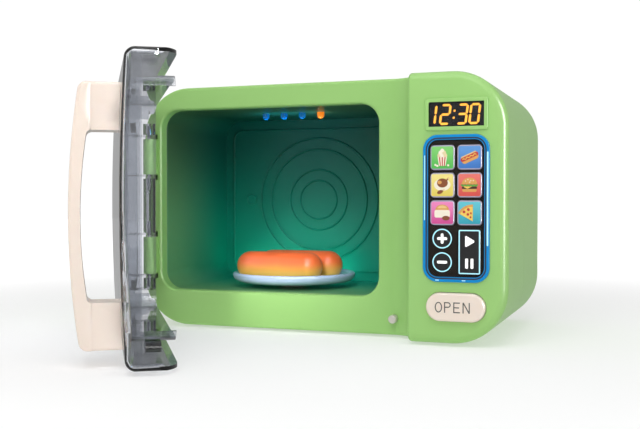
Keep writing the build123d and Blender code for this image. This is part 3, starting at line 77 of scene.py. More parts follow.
def linear(hex_colour: str) -> tuple[float, float, float, float]:
    """Turn an sRGB hex colour into linear light.

    Args:
        hex_colour: six hex digits after a hash sign.

    Returns:
        Red, green, blue and a full alpha, in linear light.
    """
    parts = [int(hex_colour[at:at + 2], 16) / 255 for at in (1, 3, 5)]
    red, green, blue = [v / 12.92 if v <= 0.04045 else ((v + 0.055) / 1.055) ** 2.4 for v in parts]
    return red, green, blue, 1.0


def add_node(tree: Tree, kind: str, inputs: dict[Any, Any] | None = None, out: int | str = 0,
             **settings: Any) -> Socket | None:
    """Add a node with its settings, values and links.

    Args:
        tree: the node tree that takes the node.
        kind: the node's type name.
        inputs: a value, a socket or a list of sockets for each input's name or number.
        out: name or number of the output to go on with.
        settings: properties of the node.

    Returns:
        That output, or None where the node has no outputs.
    """
    made = tree.nodes.new(kind)
    for key, value in settings.items():
        setattr(made, key, value)
    for key, value in (inputs or {}).items():
        for one in value if isinstance(value, list) else [value]:
            if isinstance(one, Socket):
                tree.links.new(one, made.inputs[key])
            else:
                made.inputs[key].default_value = one
    return made.outputs[out] if len(made.outputs) else None


def calc(tree: Tree, operation: str, *values: Any, clamp: bool = False) -> Socket:
    """Combine numbers or sockets by an operation of the Math node."""
    return add_node(tree, "ShaderNodeMath", dict(enumerate(values)), operation=operation, use_clamp=clamp)


def place_on(tree: Tree) -> Socket:
    """Place on the object, in its own frame."""
    return add_node(tree, "ShaderNodeTexCoord", out="Object")


def along(tree: Tree, axis: str) -> Socket:
    """Place on the object along one axis."""
    return add_node(tree, "ShaderNodeSeparateXYZ", {"Vector": place_on(tree)}, axis)


def noise(tree: Tree, scale: float, detail: float = 2.0) -> Socket:
    """Cloudy noise over the object, finer for a larger scale."""
    return add_node(tree, "ShaderNodeTexNoise", {"Vector": place_on(tree), "Scale": scale, "Detail": detail})


def ramp(tree: Tree, value: Socket, start: float, end: float, low: float = 0.0, high: float = 1.0) -> Socket:
    """Go smoothly from low to high while a value goes from start to end."""
    ends = {"Value": value, "From Min": start, "From Max": end, "To Min": low, "To Max": high}
    return add_node(tree, "ShaderNodeMapRange", ends, interpolation_type="SMOOTHSTEP")


def spread(tree: Tree, share: Socket, low: float, high: float) -> Socket:
    """Go evenly from low to high with a share from 0 to 1."""
    return add_node(tree, "ShaderNodeMapRange", {"Value": share, "To Min": low, "To Max": high})


def blend(tree: Tree, share: Socket, first: str, second: str) -> Socket:
    """Mix two sRGB colours by a share."""
    parts = {0: share, 6: linear(first), 7: linear(second)}
    return add_node(tree, "ShaderNodeMix", parts, 2, data_type="RGBA")


def bump(tree: Tree, height: Socket, strength: float, depth_mm: float = 0.1) -> Socket:
    """Normals of a surface that is a little uneven."""
    parts = {"Height": height, "Strength": strength, "Distance": depth_mm * MM}
    return add_node(tree, "ShaderNodeBump", parts)


def principled(tree: Tree, inputs: dict[str, Any]) -> Socket:
    """Principled shader with the given inputs."""
    return add_node(tree, "ShaderNodeBsdfPrincipled", inputs)


@dataclass(frozen=True)
class Finish:
    """A surface finish, named for what the real one is."""

    name: str

    def material(self) -> bpy.types.Material:
        """Find or build this finish's material.

        Returns:
            The Blender material.
        """
        found = bpy.data.materials.get(self.name)
        if found:
            return found
        made = bpy.data.materials.new(self.name)
        made.use_nodes = True
        tree = made.node_tree
        tree.nodes.clear()
        add_node(tree, "ShaderNodeOutputMaterial", {"Surface": self.surface(tree), **self.inside(tree)})
        return made

    def surface(self, tree: Tree) -> Socket:
        """Build the shader; each kind of finish has its own."""
        raise NotImplementedError

    def inside(self, tree: Tree) -> dict[str, Socket]:
        """Build what fills a clear finish's walls; the others have nothing there."""
        return {}


@dataclass(frozen=True)
class MouldedAbs(Finish):
    """Injection-moulded ABS: polished tool, faint flow ripples and a slight drift in its colour."""

    colour: str
    drift: str
    roughness: float = 0.3
    coat: float = 0.25
    coat_roughness: float = 0.12
    shine: float = 0.5
    ior: float = ABS_IOR
    ripple_mm: float = 2.2
    ripple: float = 0.04
    scatter: float = 0.0

    def surface(self, tree: Tree) -> Socket:
        """Shader of the moulded plastic.

        Args:
            tree: the material's node tree.

        Returns:
            The shader's output.
        """
        # The pigment drifts over a few centimetres, as it does round a moulding's gates
        tint = blend(tree, noise(tree, 22.0), self.colour, self.drift)
        # Real ripples are under a millimetre; they are drawn a little coarser so that they show
        ripple = noise(tree, 1 / (self.ripple_mm * MM), 3.0)
        return principled(tree, {
            "Base Color": tint,
            "Roughness": spread(tree, ripple, self.roughness - 0.03, self.roughness + 0.04),
            "IOR": self.ior, "Specular IOR Level": self.shine, "Coat Weight": self.coat,
            "Coat Roughness": self.coat_roughness, "Subsurface Weight": self.scatter,
            "Subsurface Scale": 2 * MM, "Normal": bump(tree, ripple, self.ripple)})


@dataclass(frozen=True)
class ShadedAbs(Finish):
    """Moulded ABS sprayed in two tones that blend from low to high, such as play food, with painted light
    where glow is set: a faint glow though it is no lamp.
    """

    low_colour: str
    high_colour: str
    low_mm: float
    high_mm: float
    roughness: float = 0.28
    glow: float = 0.0

    def surface(self, tree: Tree) -> Socket:
        """Shader whose colour follows the height.

        Args:
            tree: the material's node tree.

        Returns:
            The shader's output.
        """
        # Spray drifts a little, so the blend line wanders by about a millimetre
        wander = calc(tree, "MULTIPLY_ADD", noise(tree, 60.0), 2 * MM, along(tree, "Z"))
        share = ramp(tree, wander, self.low_mm * MM, self.high_mm * MM)
        tint = blend(tree, share, self.low_colour, self.high_colour)
        # Where glow is set the surface glows faintly though it is no lamp: painted light
        return principled(tree, {
            "Base Color": tint, "Roughness": self.roughness, "IOR": ABS_IOR, "Coat Weight": 0.4,
            "Coat Roughness": 0.1, "Emission Color": tint, "Emission Strength": self.glow,
            "Normal": bump(tree, noise(tree, 400.0, 3.0), 0.05)})


@dataclass(frozen=True)
class PaintedLightLiner(Finish):
    """Cavity ABS: green at the mouth, with painted lamp glow that turns it teal where the lamps reach, and
    painted shade that darkens it under the ceiling.
    """

    mouth_colour: str
    lamp_glow_colour: str
    mouth_mm: float
    back_mm: float
    painted_shade_from_mm: float
    painted_shade_to_mm: float
    painted_shade: float

    def surface(self, tree: Tree) -> Socket:
        """Shader with painted lamp glow that follows depth and painted shade that follows height.

        Args:
            tree: the material's node tree.

        Returns:
            The shader's output.
        """
        # Painted lamp glow: the colour turns teal towards the back. Painted shade: it darkens towards the
        # ceiling.
        lamp_glow_share = ramp(tree, along(tree, "Y"), self.mouth_mm * MM, self.back_mm * MM)
        ceiling_painted_shade = ramp(tree, along(tree, "Z"), self.painted_shade_from_mm * MM, self.painted_shade_to_mm * MM, 1.0, self.painted_shade)
        tint = blend(tree, lamp_glow_share, self.mouth_colour, self.lamp_glow_colour)
        painted_shade_tint = add_node(tree, "ShaderNodeVectorMath", {0: tint, "Scale": ceiling_painted_shade}, operation="SCALE")
        return principled(tree, {
            "Base Color": painted_shade_tint, "Roughness": 0.36, "IOR": ABS_IOR, "Specular IOR Level": 0.3,
            "Coat Weight": 0.08, "Coat Roughness": 0.08, "Normal": bump(tree, noise(tree, 350.0, 3.0), 0.04)})


@dataclass(frozen=True)
class SmokyStyrene(Finish):
    """Clear moulded styrene with a smoky tint, darkest where light runs along a wall."""

    colour: str
    edge_colour: str
    density: float
    ior: float = 1.49
    body_colour: str = "#707680"
    edge_start: float = 0.45
    edge_full: float = 0.98

    def surface(self, tree: Tree) -> Socket:
        """Shader of the clear plastic.

        Args:
            tree: the material's node tree.

        Returns:
            The shader's output.
        """
        # Light that runs along a wall crosses more of the smoky plastic than light straight through it
        slope = add_node(tree, "ShaderNodeLayerWeight", {"Blend": 0.5}, "Facing")
        share = ramp(tree, slope, self.edge_start, self.edge_full)
        tint = blend(tree, share, self.colour, self.edge_colour)
        return principled(tree, {
            "Base Color": tint, "Roughness": 0.0, "IOR": self.ior, "Transmission Weight": 1.0,
            "Normal": bump(tree, noise(tree, 90.0), 0.06, 0.2)})

    def inside(self, tree: Tree) -> dict[str, Socket]:
        """Build the tint inside the walls."""
        smoke = {"Color": linear(self.body_colour), "Density": self.density}
        return {"Volume": add_node(tree, "ShaderNodeVolumeAbsorption", smoke)}


@dataclass(frozen=True)
class LampLens(Finish):
    """Cast epoxy lens of a small lamp, lit from inside."""

    colour: str
    glow: float

    def surface(self, tree: Tree) -> Socket:
        """Shader of the lit lens."""
        lit = linear(self.colour)
        return principled(tree, {"Base Color": lit, "Roughness": 0.08, "IOR": 1.5, "Transmission Weight": 0.5,
                                 "Emission Color": lit, "Emission Strength": self.glow})


@dataclass(frozen=True)
class PlatedSteel(Finish):
    """Zinc-plated steel: bright, with fine drawing marks."""

    colour: str = "#B9BBC0"
    roughness: float = 0.3
    grit_mm: float = 0.6

    def surface(self, tree: Tree) -> Socket:
        """Shader of the plated metal."""
        gloss = spread(tree, noise(tree, 1 / (self.grit_mm * MM), 4.0), self.roughness - 0.08,
                       self.roughness + 0.12)
        return principled(tree, {"Base Color": linear(self.colour), "Metallic": 1.0, "Roughness": gloss})


@dataclass(frozen=True)
class PadInk(Finish):
    """Pad-printed ink: an even satin film a few hundredths thick, lit from behind where glow is set."""

    colour: str
    glow: float = 0.0
    roughness: float = 0.38

    def surface(self, tree: Tree) -> Socket:
        """Shader of the printed film.

        Args:
            tree: the material's node tree.

        Returns:
            The shader's output.
        """
        # The screen's dots leave a faint unevenness in the film
        gloss = spread(tree, noise(tree, 900.0), self.roughness - 0.05, self.roughness + 0.05)
        ink = linear(self.colour)
        return principled(tree, {"Base Color": ink, "Roughness": gloss, "Coat Weight": 0.5,
                                 "Coat Roughness": 0.08, "Emission Color": ink,
                                 "Emission Strength": self.glow})


@dataclass(frozen=True)
class DottedAbs(Finish):
    """Black ABS plate with a fine woven pattern of raised dots, as carbon-look trim has."""

    colour: str = "#030303"
    dot_colour: str = "#6A5A4C"
    pitch_mm: float = 1.5
    dot_start: float = 0.5
    dot_full: float = 0.92

    def surface(self, tree: Tree) -> Socket:
        """Shader of the dotted plate.

        Args:
            tree: the material's node tree.

        Returns:
            The shader's output.
        """
        turn = 2 * math.pi / (self.pitch_mm * MM)
        waves = [calc(tree, "COSINE", calc(tree, "MULTIPLY", along(tree, axis), turn)) for axis in "XZ"]
        dot = ramp(tree, calc(tree, "MULTIPLY", *waves), self.dot_start, self.dot_full)
        return principled(tree, {
            "Base Color": blend(tree, dot, self.colour, self.dot_colour), "Roughness": 0.5,
            "Specular IOR Level": 0.15, "Normal": bump(tree, dot, 0.5, 0.15)})


@dataclass(frozen=True)
class StudioPaper(Finish):
    """Matt white studio sweep, lit a little from below so that it burns out to white."""

    colour: str = "#C8C8C8"
    near_m: float = 0.24
    far_m: float = 0.8
    near_glow: float = 0.42
    far_glow: float = 0.85
    mirrored_glow: float = 0.45

    def surface(self, tree: Tree) -> Socket:
        """Shader of the paper, with the faint tooth that paper has.

        Args:
            tree: the material's node tree.

        Returns:
            The shader's output.
        """
        away = add_node(tree, "ShaderNodeVectorMath", {0: place_on(tree)}, "Value", operation="LENGTH")
        paper = principled(tree, {
            "Base Color": linear(self.colour), "Roughness": 0.9, "Specular IOR Level": 0.1,
            "Emission Color": EVEN_WHITE,
            "Emission Strength": ramp(tree, away, self.near_m, self.far_m, self.near_glow, self.far_glow),
            "Normal": bump(tree, noise(tree, 500.0), 0.02)})
        # Gloss mirrors the floor as evenly as the air above it, so no horizon line crosses the toy
        glossy, clear = (add_node(tree, "ShaderNodeLightPath", out=f"Is {kind} Ray")
                         for kind in ("Glossy", "Transmission"))
        gloss = calc(tree, "SUBTRACT", glossy, clear, clamp=True)
        even = add_node(tree, "ShaderNodeEmission", {"Color": EVEN_WHITE, "Strength": self.mirrored_glow})
        return add_node(tree, "ShaderNodeMixShader", {0: gloss, 1: paper, 2: even})


# Housing and cream parts are glossy ABS; a faint lighter drift keeps big faces from looking flat
GREEN = MouldedAbs("apple_green_abs", "#9ACC76", "#A2D27E", coat=0.0, ior=1.36)
# The cavity's finish carries painted lamp glow towards the back and painted shade under the ceiling
LINER_PAINTED_LIGHT = PaintedLightLiner("cavity_abs_painted_light", "#6BA36C", "#049C80", -38.0, 57.0, 60.0, 140.0, 0.35)
CREAM = MouldedAbs("cream_abs", "#F7E8DB", "#F1DFD0", coat=0.3, scatter=0.05)
BLUE = MouldedAbs("bezel_blue_abs", "#0086CC", "#0090D8", roughness=0.4, coat=0.1, shine=0.15)
WHITE = MouldedAbs("natural_white_abs", "#E4E3DE", "#DAD8D2", roughness=0.45, coat=0.0)
PIN_GREY = MouldedAbs("pin_grey_abs", "#D9D2CC", "#CFC8C2")
BLACK = MouldedAbs("black_abs", "#101113", "#16171A", roughness=0.42, coat=0.1)
KEY_RIM = MouldedAbs("key_rim_abs", "#A9A3BA", "#B8B2C8", roughness=0.22, coat=0.6)
KEY_BLACK = MouldedAbs("key_black_abs", "#08090C", "#0D1016", roughness=0.25, coat=0.5)
RUBBER = MouldedAbs("keypad_rubber", "#4A4A4E", "#555559", roughness=0.75, coat=0.0)
LAMINATE = MouldedAbs("green_laminate", "#1F5A36", "#25683F", roughness=0.4, coat=0.2)
JACKET = MouldedAbs("cell_jacket", "#3A3D45", "#44474F", roughness=0.35)
DISH = MouldedAbs("dish_blue_abs", "#B6CAEC", "#C0D2F1", roughness=0.25, coat=0.4)
SMOKY = SmokyStyrene("smoky_clear_styrene", "#DFE1E5", "#50535A", 80.0)
PANE = SmokyStyrene("dark_display_pane", "#DADADF", "#606068", 30.0, 1.12)
STEEL = PlatedSteel("zinc_plated_steel")
SPRING_STEEL = PlatedSteel("spring_steel", "#8F9095", 0.35)
SAUSAGE = ShadedAbs("sprayed_sausage_abs", "#F0C24E", "#F4703C", 36.0, 46.5)
LAMP_BLUE = LampLens("blue_lamp_lens", "#0E6CA6", 0.35)
LAMP_ORANGE = LampLens("orange_lamp_lens", "#E8902A", 0.5)
DOTTED = DottedAbs("dotted_black_abs")
INK_AMBER = PadInk("amber_segment", "#FFB038", 1.6)
INK_BLACK = PadInk("display_black", "#020202", roughness=0.6)
INK_NAVY = PadInk("navy_lip", "#06203C", roughness=0.5)
INK_WHITE = PadInk("white_ink", "#FFFFFF", 0.35)
INK_ICE = PadInk("ice_blue_ink", "#A8E4F4", 0.45)
INK_GREY = PadInk("grey_letter_ink", "#55534F")
INK_TAN = PadInk("tan_ink", "#E2A455")
INK_BREAD = PadInk("bread_ink", "#F0C887")
INK_BROWN = PadInk("brown_ink", "#8E4A20")
INK_DARK = PadInk("dark_brown_ink", "#4A2410")
INK_RED = PadInk("red_ink", "#C9362C")
INK_LEAF = PadInk("leaf_ink", "#5FA83A")
INK_CREAM = PadInk("cream_ink", "#FBF1DC")
INK_PALE = PadInk("pale_corn_ink", "#EBD9A8")
INK_CHEESE = PadInk("cheese_ink", "#F7CF5A")


def make_object(name: str, mesh: Mesh, finishes: Sequence[Finish]) -> Object:
    """Put a mesh in the scene with its materials.

    Args:
        name: the new object's name.
        mesh: a mesh whose points are already in place.
        finishes: one finish for each material index.

    Returns:
        The new object, at the origin.
    """
    mesh.name = name
    # Clearing the list resets the faces' indices, so a new mesh is left alone
    if mesh.materials:
        mesh.materials.clear()
    for finish in finishes:
        mesh.materials.append(finish.material())
    made = bpy.data.objects.new(name, mesh)
    bpy.context.scene.collection.objects.link(made)
    return made


def settle(piece: Object, node: str, replaces: bool = False) -> Object:
    """Give a finished piece the body of a CAD node.

    Args:
        piece: the finished object.
        node: the CAD node that it belongs to.
        replaces: whether it stands in for that node.

    Returns:
        The same object.
    """
    record = frame["record"]
    body = next(name for name, nodes in record["behaviour"]["bodies"].items() if node in nodes)
    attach(piece, body)
    if replaces:
        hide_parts(node)
    log.info("piece %s rides on %s", piece.name, body)
    return piece


def keep(node: str, finish: Finish) -> None:
    """Keep a CAD node as it is and give it a finish.

    Args:
        node: the CAD node's name.
        finish: its finish.
    """
    materials = frame["nodes"][node].data.materials
    materials.clear()
    materials.append(finish.material())
    log.info("node %s keeps its shape", node)


def smooth(mesh: Mesh, crease_deg: float) -> None:
    """Shade a mesh smoothly up to the angle past which an edge stays sharp."""
    mesh.shade_smooth()
    mesh.set_sharp_from_angle(angle=math.radians(crease_deg))


def mesh_of(name: str, points: Sequence[Vector], faces: Faces) -> Mesh:
    """Make a mesh.

    Args:
        name: its name.
        points: its points, in metres.
        faces: its faces, by the numbers of their points.

    Returns:
        The mesh.
    """
    mesh = bpy.data.meshes.new(name)
    mesh.from_pydata([tuple(point) for point in points], [], faces)
    return mesh


@contextmanager
def edited(mesh: Mesh) -> Iterator[bmesh.types.BMesh]:
    """Open a mesh for edits and write them back at the end.

    Args:
        mesh: the mesh.

    Returns:
        The mesh in its editable form.
    """
    work = bmesh.new()
    work.from_mesh(mesh)
    yield work
    work.to_mesh(mesh)
    work.free()


class Edge(Enum):
    """How a moulding's sharp edges are broken, in millimetres."""

    CRISP = 0.0
    FINE = 0.15
    SOFT = 0.35


def refine(node: str, finish: Finish, edge: Edge = Edge.CRISP) -> Object:
    """Stand a welded, smoothly shaded copy in for a CAD node.

    Args:
        node: the CAD node's name.
        finish: the copy's finish.
        edge: how its sharp edges are broken.

    Returns:
        The copy.
    """
    mesh = frame["nodes"][node].data.copy()
    flat = math.radians(1.0 if edge.value else 0.05)
    with edited(mesh) as work:
        bmesh.ops.remove_doubles(work, verts=work.verts, dist=WELD)
        bmesh.ops.dissolve_limit(work, angle_limit=flat, verts=work.verts, edges=work.edges)
    smooth(mesh, CREASE_DEG)
    piece = make_object(node + "_shell", mesh, [finish])
    if edge.value:
        bevel = piece.modifiers.new("edge", "BEVEL")
        bevel.width = edge.value * MM
        bevel.segments = 2
        bevel.limit_method = "ANGLE"
        bevel.angle_limit = math.radians(40)
        bevel.harden_normals = False
    normals = piece.modifiers.new("faces_lead", "WEIGHTED_NORMAL")
    normals.keep_sharp = True
    normals.weight = 80
    return settle(piece, node, True)


def refine_all(finish: Finish, *nodes: str) -> None:
    """Stand crisp copies in for several CAD nodes of one finish."""
    for node in nodes:
        refine(node, finish)


def skin(rows: Sequence[Sequence[int]]) -> Faces:
    """Span faces between closed rows of equally many point numbers.

    Args:
        rows: the rows; a pole is its one number, repeated.

    Returns:
        The faces, triangles at a pole.
    """
    faces = []
    for low, high in zip(rows, rows[1:]):
        for at in range(len(low)):
            after = (at + 1) % len(low)
            face = tuple(dict.fromkeys((low[at], low[after], high[after], high[at])))
            if len(face) > 2:
                faces.append(face)
    return faces


def lathe(profile: Sequence[Point], axis: Vector, segments: int) -> Lattice:
    """Turn a profile of radius and height round an upright axis, in millimetres.

    Args:
        profile: points of radius and height, from the lower pole to the upper one.
        axis: a point on the axis.
        segments: facets round the axis.

    Returns:
        Points in metres and faces.
    """
    points: list[Vector] = []
    rows: list[list[int]] = []
    for radius, height in profile:
        first = len(points)
        if radius <= 0:
            rows.append([first] * segments)
            points.append(Vector((axis.x, axis.y, height)) * MM)
            continue
        rows.append(list(range(first, first + segments)))
        points += [Vector((x, y, height)) * MM for x, y in ring((axis.x, axis.y), radius, radius, segments)]
    return points, skin(rows)


def bead(outline: Sequence[Point], face_y: float, radius: float, facets: int = 10) -> Lattice:
    """Run a round bead along a closed outline on a face across Y, in millimetres.

    Args:
        outline: points across and up, anticlockwise seen from the front.
        face_y: where the face stands.
        radius: the bead's radius.
        facets: facets round the bead.

    Returns:
        Points in metres and faces.
    """
    points: list[Vector] = []
    for at, (x, z) in enumerate(outline):
        ahead, behind = outline[(at + 1) % len(outline)], outline[at - 1]
        run = Vector((ahead[0] - behind[0], 0.0, ahead[1] - behind[1])).normalized()
        side = Vector((run.z, 0.0, -run.x))
        for turn in range(facets):
            angle = 2 * math.pi * turn / facets
            off = side * math.cos(angle) + Vector((0.0, 1.0, 0.0)) * math.sin(angle)
            points.append((Vector((x, face_y, z)) + off * radius) * MM)
    rows = [list(range(first, first + facets)) for first in range(0, len(points), facets)]
    return points, skin(rows + rows[:1])


def ring(centre: Point, across: float, up: float, steps: int) -> list[Point]:
    """Points of a closed ellipse, from its half width and half height."""
    turns = [2 * math.pi * at / steps for at in range(steps)]
    return [(centre[0] + across * math.cos(turn), centre[1] + up * math.sin(turn)) for turn in turns]


def arc(centre: Point, radius: float, start_deg: float, end_deg: float, steps: int,
        flatten: float = 1.0) -> list[Point]:
    """Points along an arc, both ends included.

    Args:
        centre: the arc's centre.
        radius: its radius across.
        start_deg: its first angle.
        end_deg: its last angle.
        steps: how many runs it is cut into.
        flatten: height of the arc against its width.

    Returns:
        The points.
    """
    angles = [math.radians(start_deg + (end_deg - start_deg) * at / steps) for at in range(steps + 1)]
    return [(centre[0] + radius * math.cos(a), centre[1] + flatten * radius * math.sin(a)) for a in angles]


def rounded_box(x: float, z: float, width: float, height: float, radius: float) -> list[Point]:
    """Outline of a rectangle with round corners, anticlockwise.

    Args:
        x: centre across.
        z: centre height.
        width: full width.
        height: full height.
        radius: corner radius.

    Returns:
        The outline's points.
    """
    half_w, half_h = width / 2 - radius, height / 2 - radius
    outline: list[Point] = []
    for sign_x, sign_z, start in ((1, 1, 0), (-1, 1, 90), (-1, -1, 180), (1, -1, 270)):
        outline += arc((x + sign_x * half_w, z + sign_z * half_h), radius, start, start + 90, 6)
    return outline


def turned(points: Sequence[Point], about: Point, angle_deg: float) -> list[Point]:
    """Turn points about a centre, anticlockwise.

    Args:
        points: the points.
        about: the centre.
        angle_deg: the angle.

    Returns:
        The points in their new places.
    """
    cosine, sine = math.cos(math.radians(angle_deg)), math.sin(math.radians(angle_deg))
    moved = [(x - about[0], z - about[1]) for x, z in points]
    return [(about[0] + x * cosine - z * sine, about[1] + x * sine + z * cosine) for x, z in moved]


@dataclass
class Relief:
    """Flat raised shapes on an upright face that looks to the front, in millimetres."""

    name: str
    face_y: float
    lift: float = 0.07
    sink: float = 0.03
    finishes: list[Finish] = field(default_factory=list)
    bm: bmesh.types.BMesh = field(default_factory=bmesh.new)

    def rim(self, outline: Sequence[Point], y: float) -> list[bmesh.types.BMVert]:
        """Add an outline's points at one depth."""
        return [self.bm.verts.new((x * MM, y * MM, z * MM)) for x, z in outline]

    def depths(self, layer: float) -> Point:
        """Front and back of a shape that lies over some layers."""
        return self.face_y - self.lift * (layer + 1), self.face_y + self.sink

    def face(self, corners: Sequence[bmesh.types.BMVert], finish: Finish) -> None:
        """Add a face, and its finish on first use.

        Args:
            corners: the face's corners.
            finish: its finish.
        """
        if finish not in self.finishes:
            self.finishes.append(finish)
        self.bm.faces.new(corners).material_index = self.finishes.index(finish)

    def area(self, outline: Sequence[Point], finish: Finish, layer: float = 0) -> None:
        """Raise a filled shape.

        Args:
            outline: the shape's points, anticlockwise as seen from the front.
            finish: its finish.
            layer: how many layers it lies over.
        """
        front, back = [self.rim(outline, y) for y in self.depths(layer)]
        self.face(front, finish)
        self.face(back[::-1], finish)
        for at in range(len(outline)):
            after = (at + 1) % len(outline)
            self.face((front[at], back[at], back[after], front[after]), finish)

    def band(self, outer: Sequence[Point], inner: Sequence[Point], finish: Finish) -> None:
        """Raise the band between two outlines of equally many points.

        Args:
            outer: the outer outline, anticlockwise.
            inner: the inner outline, anticlockwise.
            finish: the band's finish.
        """
        front, back = self.depths(0)
        rims = [self.rim(*pair) for pair in ((outer, front), (inner, front), (inner, back), (outer, back))]
        for near, far in zip(rims, rims[1:] + rims[:1]):
            for at in range(len(outer)):
                after = (at + 1) % len(outer)
                self.face((near[at], near[after], far[after], far[at]), finish)

    def stroke(self, line: Sequence[Point], width: float, finish: Finish, layer: int = 0) -> None:
        """Raise a pen stroke of even width along a line.

        Args:
            line: the line's points.
            width: the stroke's width.
            finish: its finish.
            layer: how many layers it lies over.
        """
        left: list[Point] = []
        right: list[Point] = []
        for at, (x, z) in enumerate(line):
            before, after = line[max(at - 1, 0)], line[min(at + 1, len(line) - 1)]
            run = Vector((after[0] - before[0], after[1] - before[1])).normalized() * width / 2
            left.append((x - run.y, z + run.x))
            right.append((x + run.y, z - run.x))
        self.area(right + left[::-1], finish, layer)

    def build(self, node: str) -> None:
        """Turn the shapes into one piece.

        Args:
            node: the CAD node that it belongs to.
        """
        bmesh.ops.recalc_face_normals(self.bm, faces=self.bm.faces)
        mesh = bpy.data.meshes.new(self.name)
        self.bm.to_mesh(mesh)
        self.bm.free()
        settle(make_object(self.name, mesh, self.finishes), node)


class Rule:
    """A Geometry Nodes tree whose named inputs set the sizes of a repeated or coiled piece."""

    def __init__(self, name: str, finish: Finish) -> None:
        """Start an empty tree.

        Args:
            name: the tree's name.
            finish: the finish of what it makes.
        """
        self.finish = finish
        self.tree = bpy.data.node_groups.new(name, "GeometryNodeTree")
        for side in ("INPUT", "OUTPUT"):
            self.tree.interface.new_socket("Geometry", in_out=side, socket_type="NodeSocketGeometry")
        self.sockets: dict[str, str] = {}
        self.entry = self.tree.nodes.new("NodeGroupInput")

    def size(self, name: str, value: Any, kind: str = "NodeSocketFloat") -> Socket:
        """Add a named input.

        Args:
            name: the input's name.
            value: its value until a modifier sets it.
            kind: its socket type.

        Returns:
            The socket that carries it inside the tree.
        """
        socket = self.tree.interface.new_socket(name, in_out="INPUT", socket_type=kind)
        socket.default_value = value
        self.sockets[name] = socket.identifier
        return self.entry.outputs[name]

    def lifted(self, geometry: Socket, height: Socket) -> Socket:
        """Move geometry up by a height."""
        offset = add_node(self.tree, "ShaderNodeCombineXYZ", {"Z": height})
        return add_node(self.tree, "GeometryNodeTransform", {"Geometry": geometry, "Translation": offset})

    def laid(self, geometry: Socket, turn: Triple) -> Socket:
        """Turn geometry about the origin."""
        return add_node(self.tree, "GeometryNodeTransform", {"Geometry": geometry, "Rotation": turn})

    def end(self, instance: Socket, **inputs: Socket) -> None:
        """Put an instance on every point, realise it, set its material and close the tree.

        Args:
            instance: what stands on the points.
            inputs: more inputs for the node that puts it there.
        """
        spots = add_node(self.tree, "GeometryNodeMeshToPoints", {"Mesh": self.entry.outputs["Geometry"]})
        row = add_node(self.tree, "GeometryNodeInstanceOnPoints",
                       {"Points": spots, "Instance": instance, **inputs})
        real = add_node(self.tree, "GeometryNodeRealizeInstances", {"Geometry": row})
        dressed = add_node(self.tree, "GeometryNodeSetMaterial",
                           {"Geometry": real, "Material": self.finish.material()})
        add_node(self.tree, "NodeGroupOutput", {"Geometry": dressed})

    def bake(self, name: str, points: Sequence[Vector], sizes: dict[str, Any], node: str,
             replaces: bool = False) -> Object:
        """Run the tree on some points and settle its result, a plain mesh.

        Args:
            name: the new piece's name.
            points: the points that the tree starts from, in metres.
            sizes: values of the tree's inputs.
            node: the CAD node that the piece belongs to.
            replaces: whether it stands in for that node.

        Returns:
            The finished piece.
        """
        seed = bpy.data.objects.new(name + "_points", mesh_of(name + "_points", points, []))
        bpy.context.scene.collection.objects.link(seed)
        modifier = seed.modifiers.new("rule", "NODES")
        modifier.node_group = self.tree
        for key, value in sizes.items():
            modifier[self.sockets[key]] = value
        evaluated = seed.evaluated_get(bpy.context.evaluated_depsgraph_get())
        mesh = bpy.data.meshes.new_from_object(evaluated)
        bpy.data.objects.remove(seed)
        smooth(mesh, CREASE_BAKED_DEG)
        return settle(make_object(name, mesh, [self.finish]), node, replaces)


def screw_rule() -> Rule:
    """Rule that puts a cross-head screw on every point.

    Returns:
        The rule, with inputs Head Radius, Head Height, Shank Radius, Shank Length and Turn.
    """
    rule = Rule("cross_head_screws", STEEL)
    tree = rule.tree
    head_r = rule.size("Head Radius", 2.9 * MM)
    head_h = rule.size("Head Height", 2.0 * MM)
    shank_r = rule.size("Shank Radius", 1.45 * MM)
    shank_l = rule.size("Shank Length", 8.0 * MM)
    turn = rule.size("Turn", (0.0, 0.0, 0.0), "NodeSocketRotation")
    crown_r, crown_h = calc(tree, "MULTIPLY", head_r, 0.72), calc(tree, "MULTIPLY", head_h, 0.45)
    rim_h = calc(tree, "SUBTRACT", head_h, crown_h)
    rim, crown = [add_node(tree, "GeometryNodeMeshCone",
                           {"Vertices": 40, "Radius Top": top_r, "Radius Bottom": head_r, "Depth": depth})
                  for top_r, depth in ((head_r, rim_h), (crown_r, crown_h))]
    solid = add_node(tree, "GeometryNodeMeshBoolean", {"Mesh 2": [rim, rule.lifted(crown, rim_h)]},
                     operation="UNION")
    wing, slit = calc(tree, "MULTIPLY", head_r, 1.15), calc(tree, "MULTIPLY", head_r, 0.24)
    blades = []
    for across, up in ((wing, slit), (slit, wing)):
        sides = add_node(tree, "ShaderNodeCombineXYZ", {"X": across, "Y": up, "Z": head_h})
        blades.append(rule.lifted(add_node(tree, "GeometryNodeMeshCube", {"Size": sides}), head_h))
    driven = add_node(tree, "GeometryNodeMeshBoolean", {"Mesh 1": solid, "Mesh 2": blades},
                      operation="DIFFERENCE")
    shank = add_node(tree, "GeometryNodeMeshCylinder", {"Vertices": 16, "Radius": shank_r, "Depth": shank_l})
    lowered = rule.lifted(shank, calc(tree, "MULTIPLY", shank_l, -0.5))
    rule.end(add_node(tree, "GeometryNodeJoinGeometry", {"Geometry": [driven, lowered]}), Rotation=turn)
    return rule


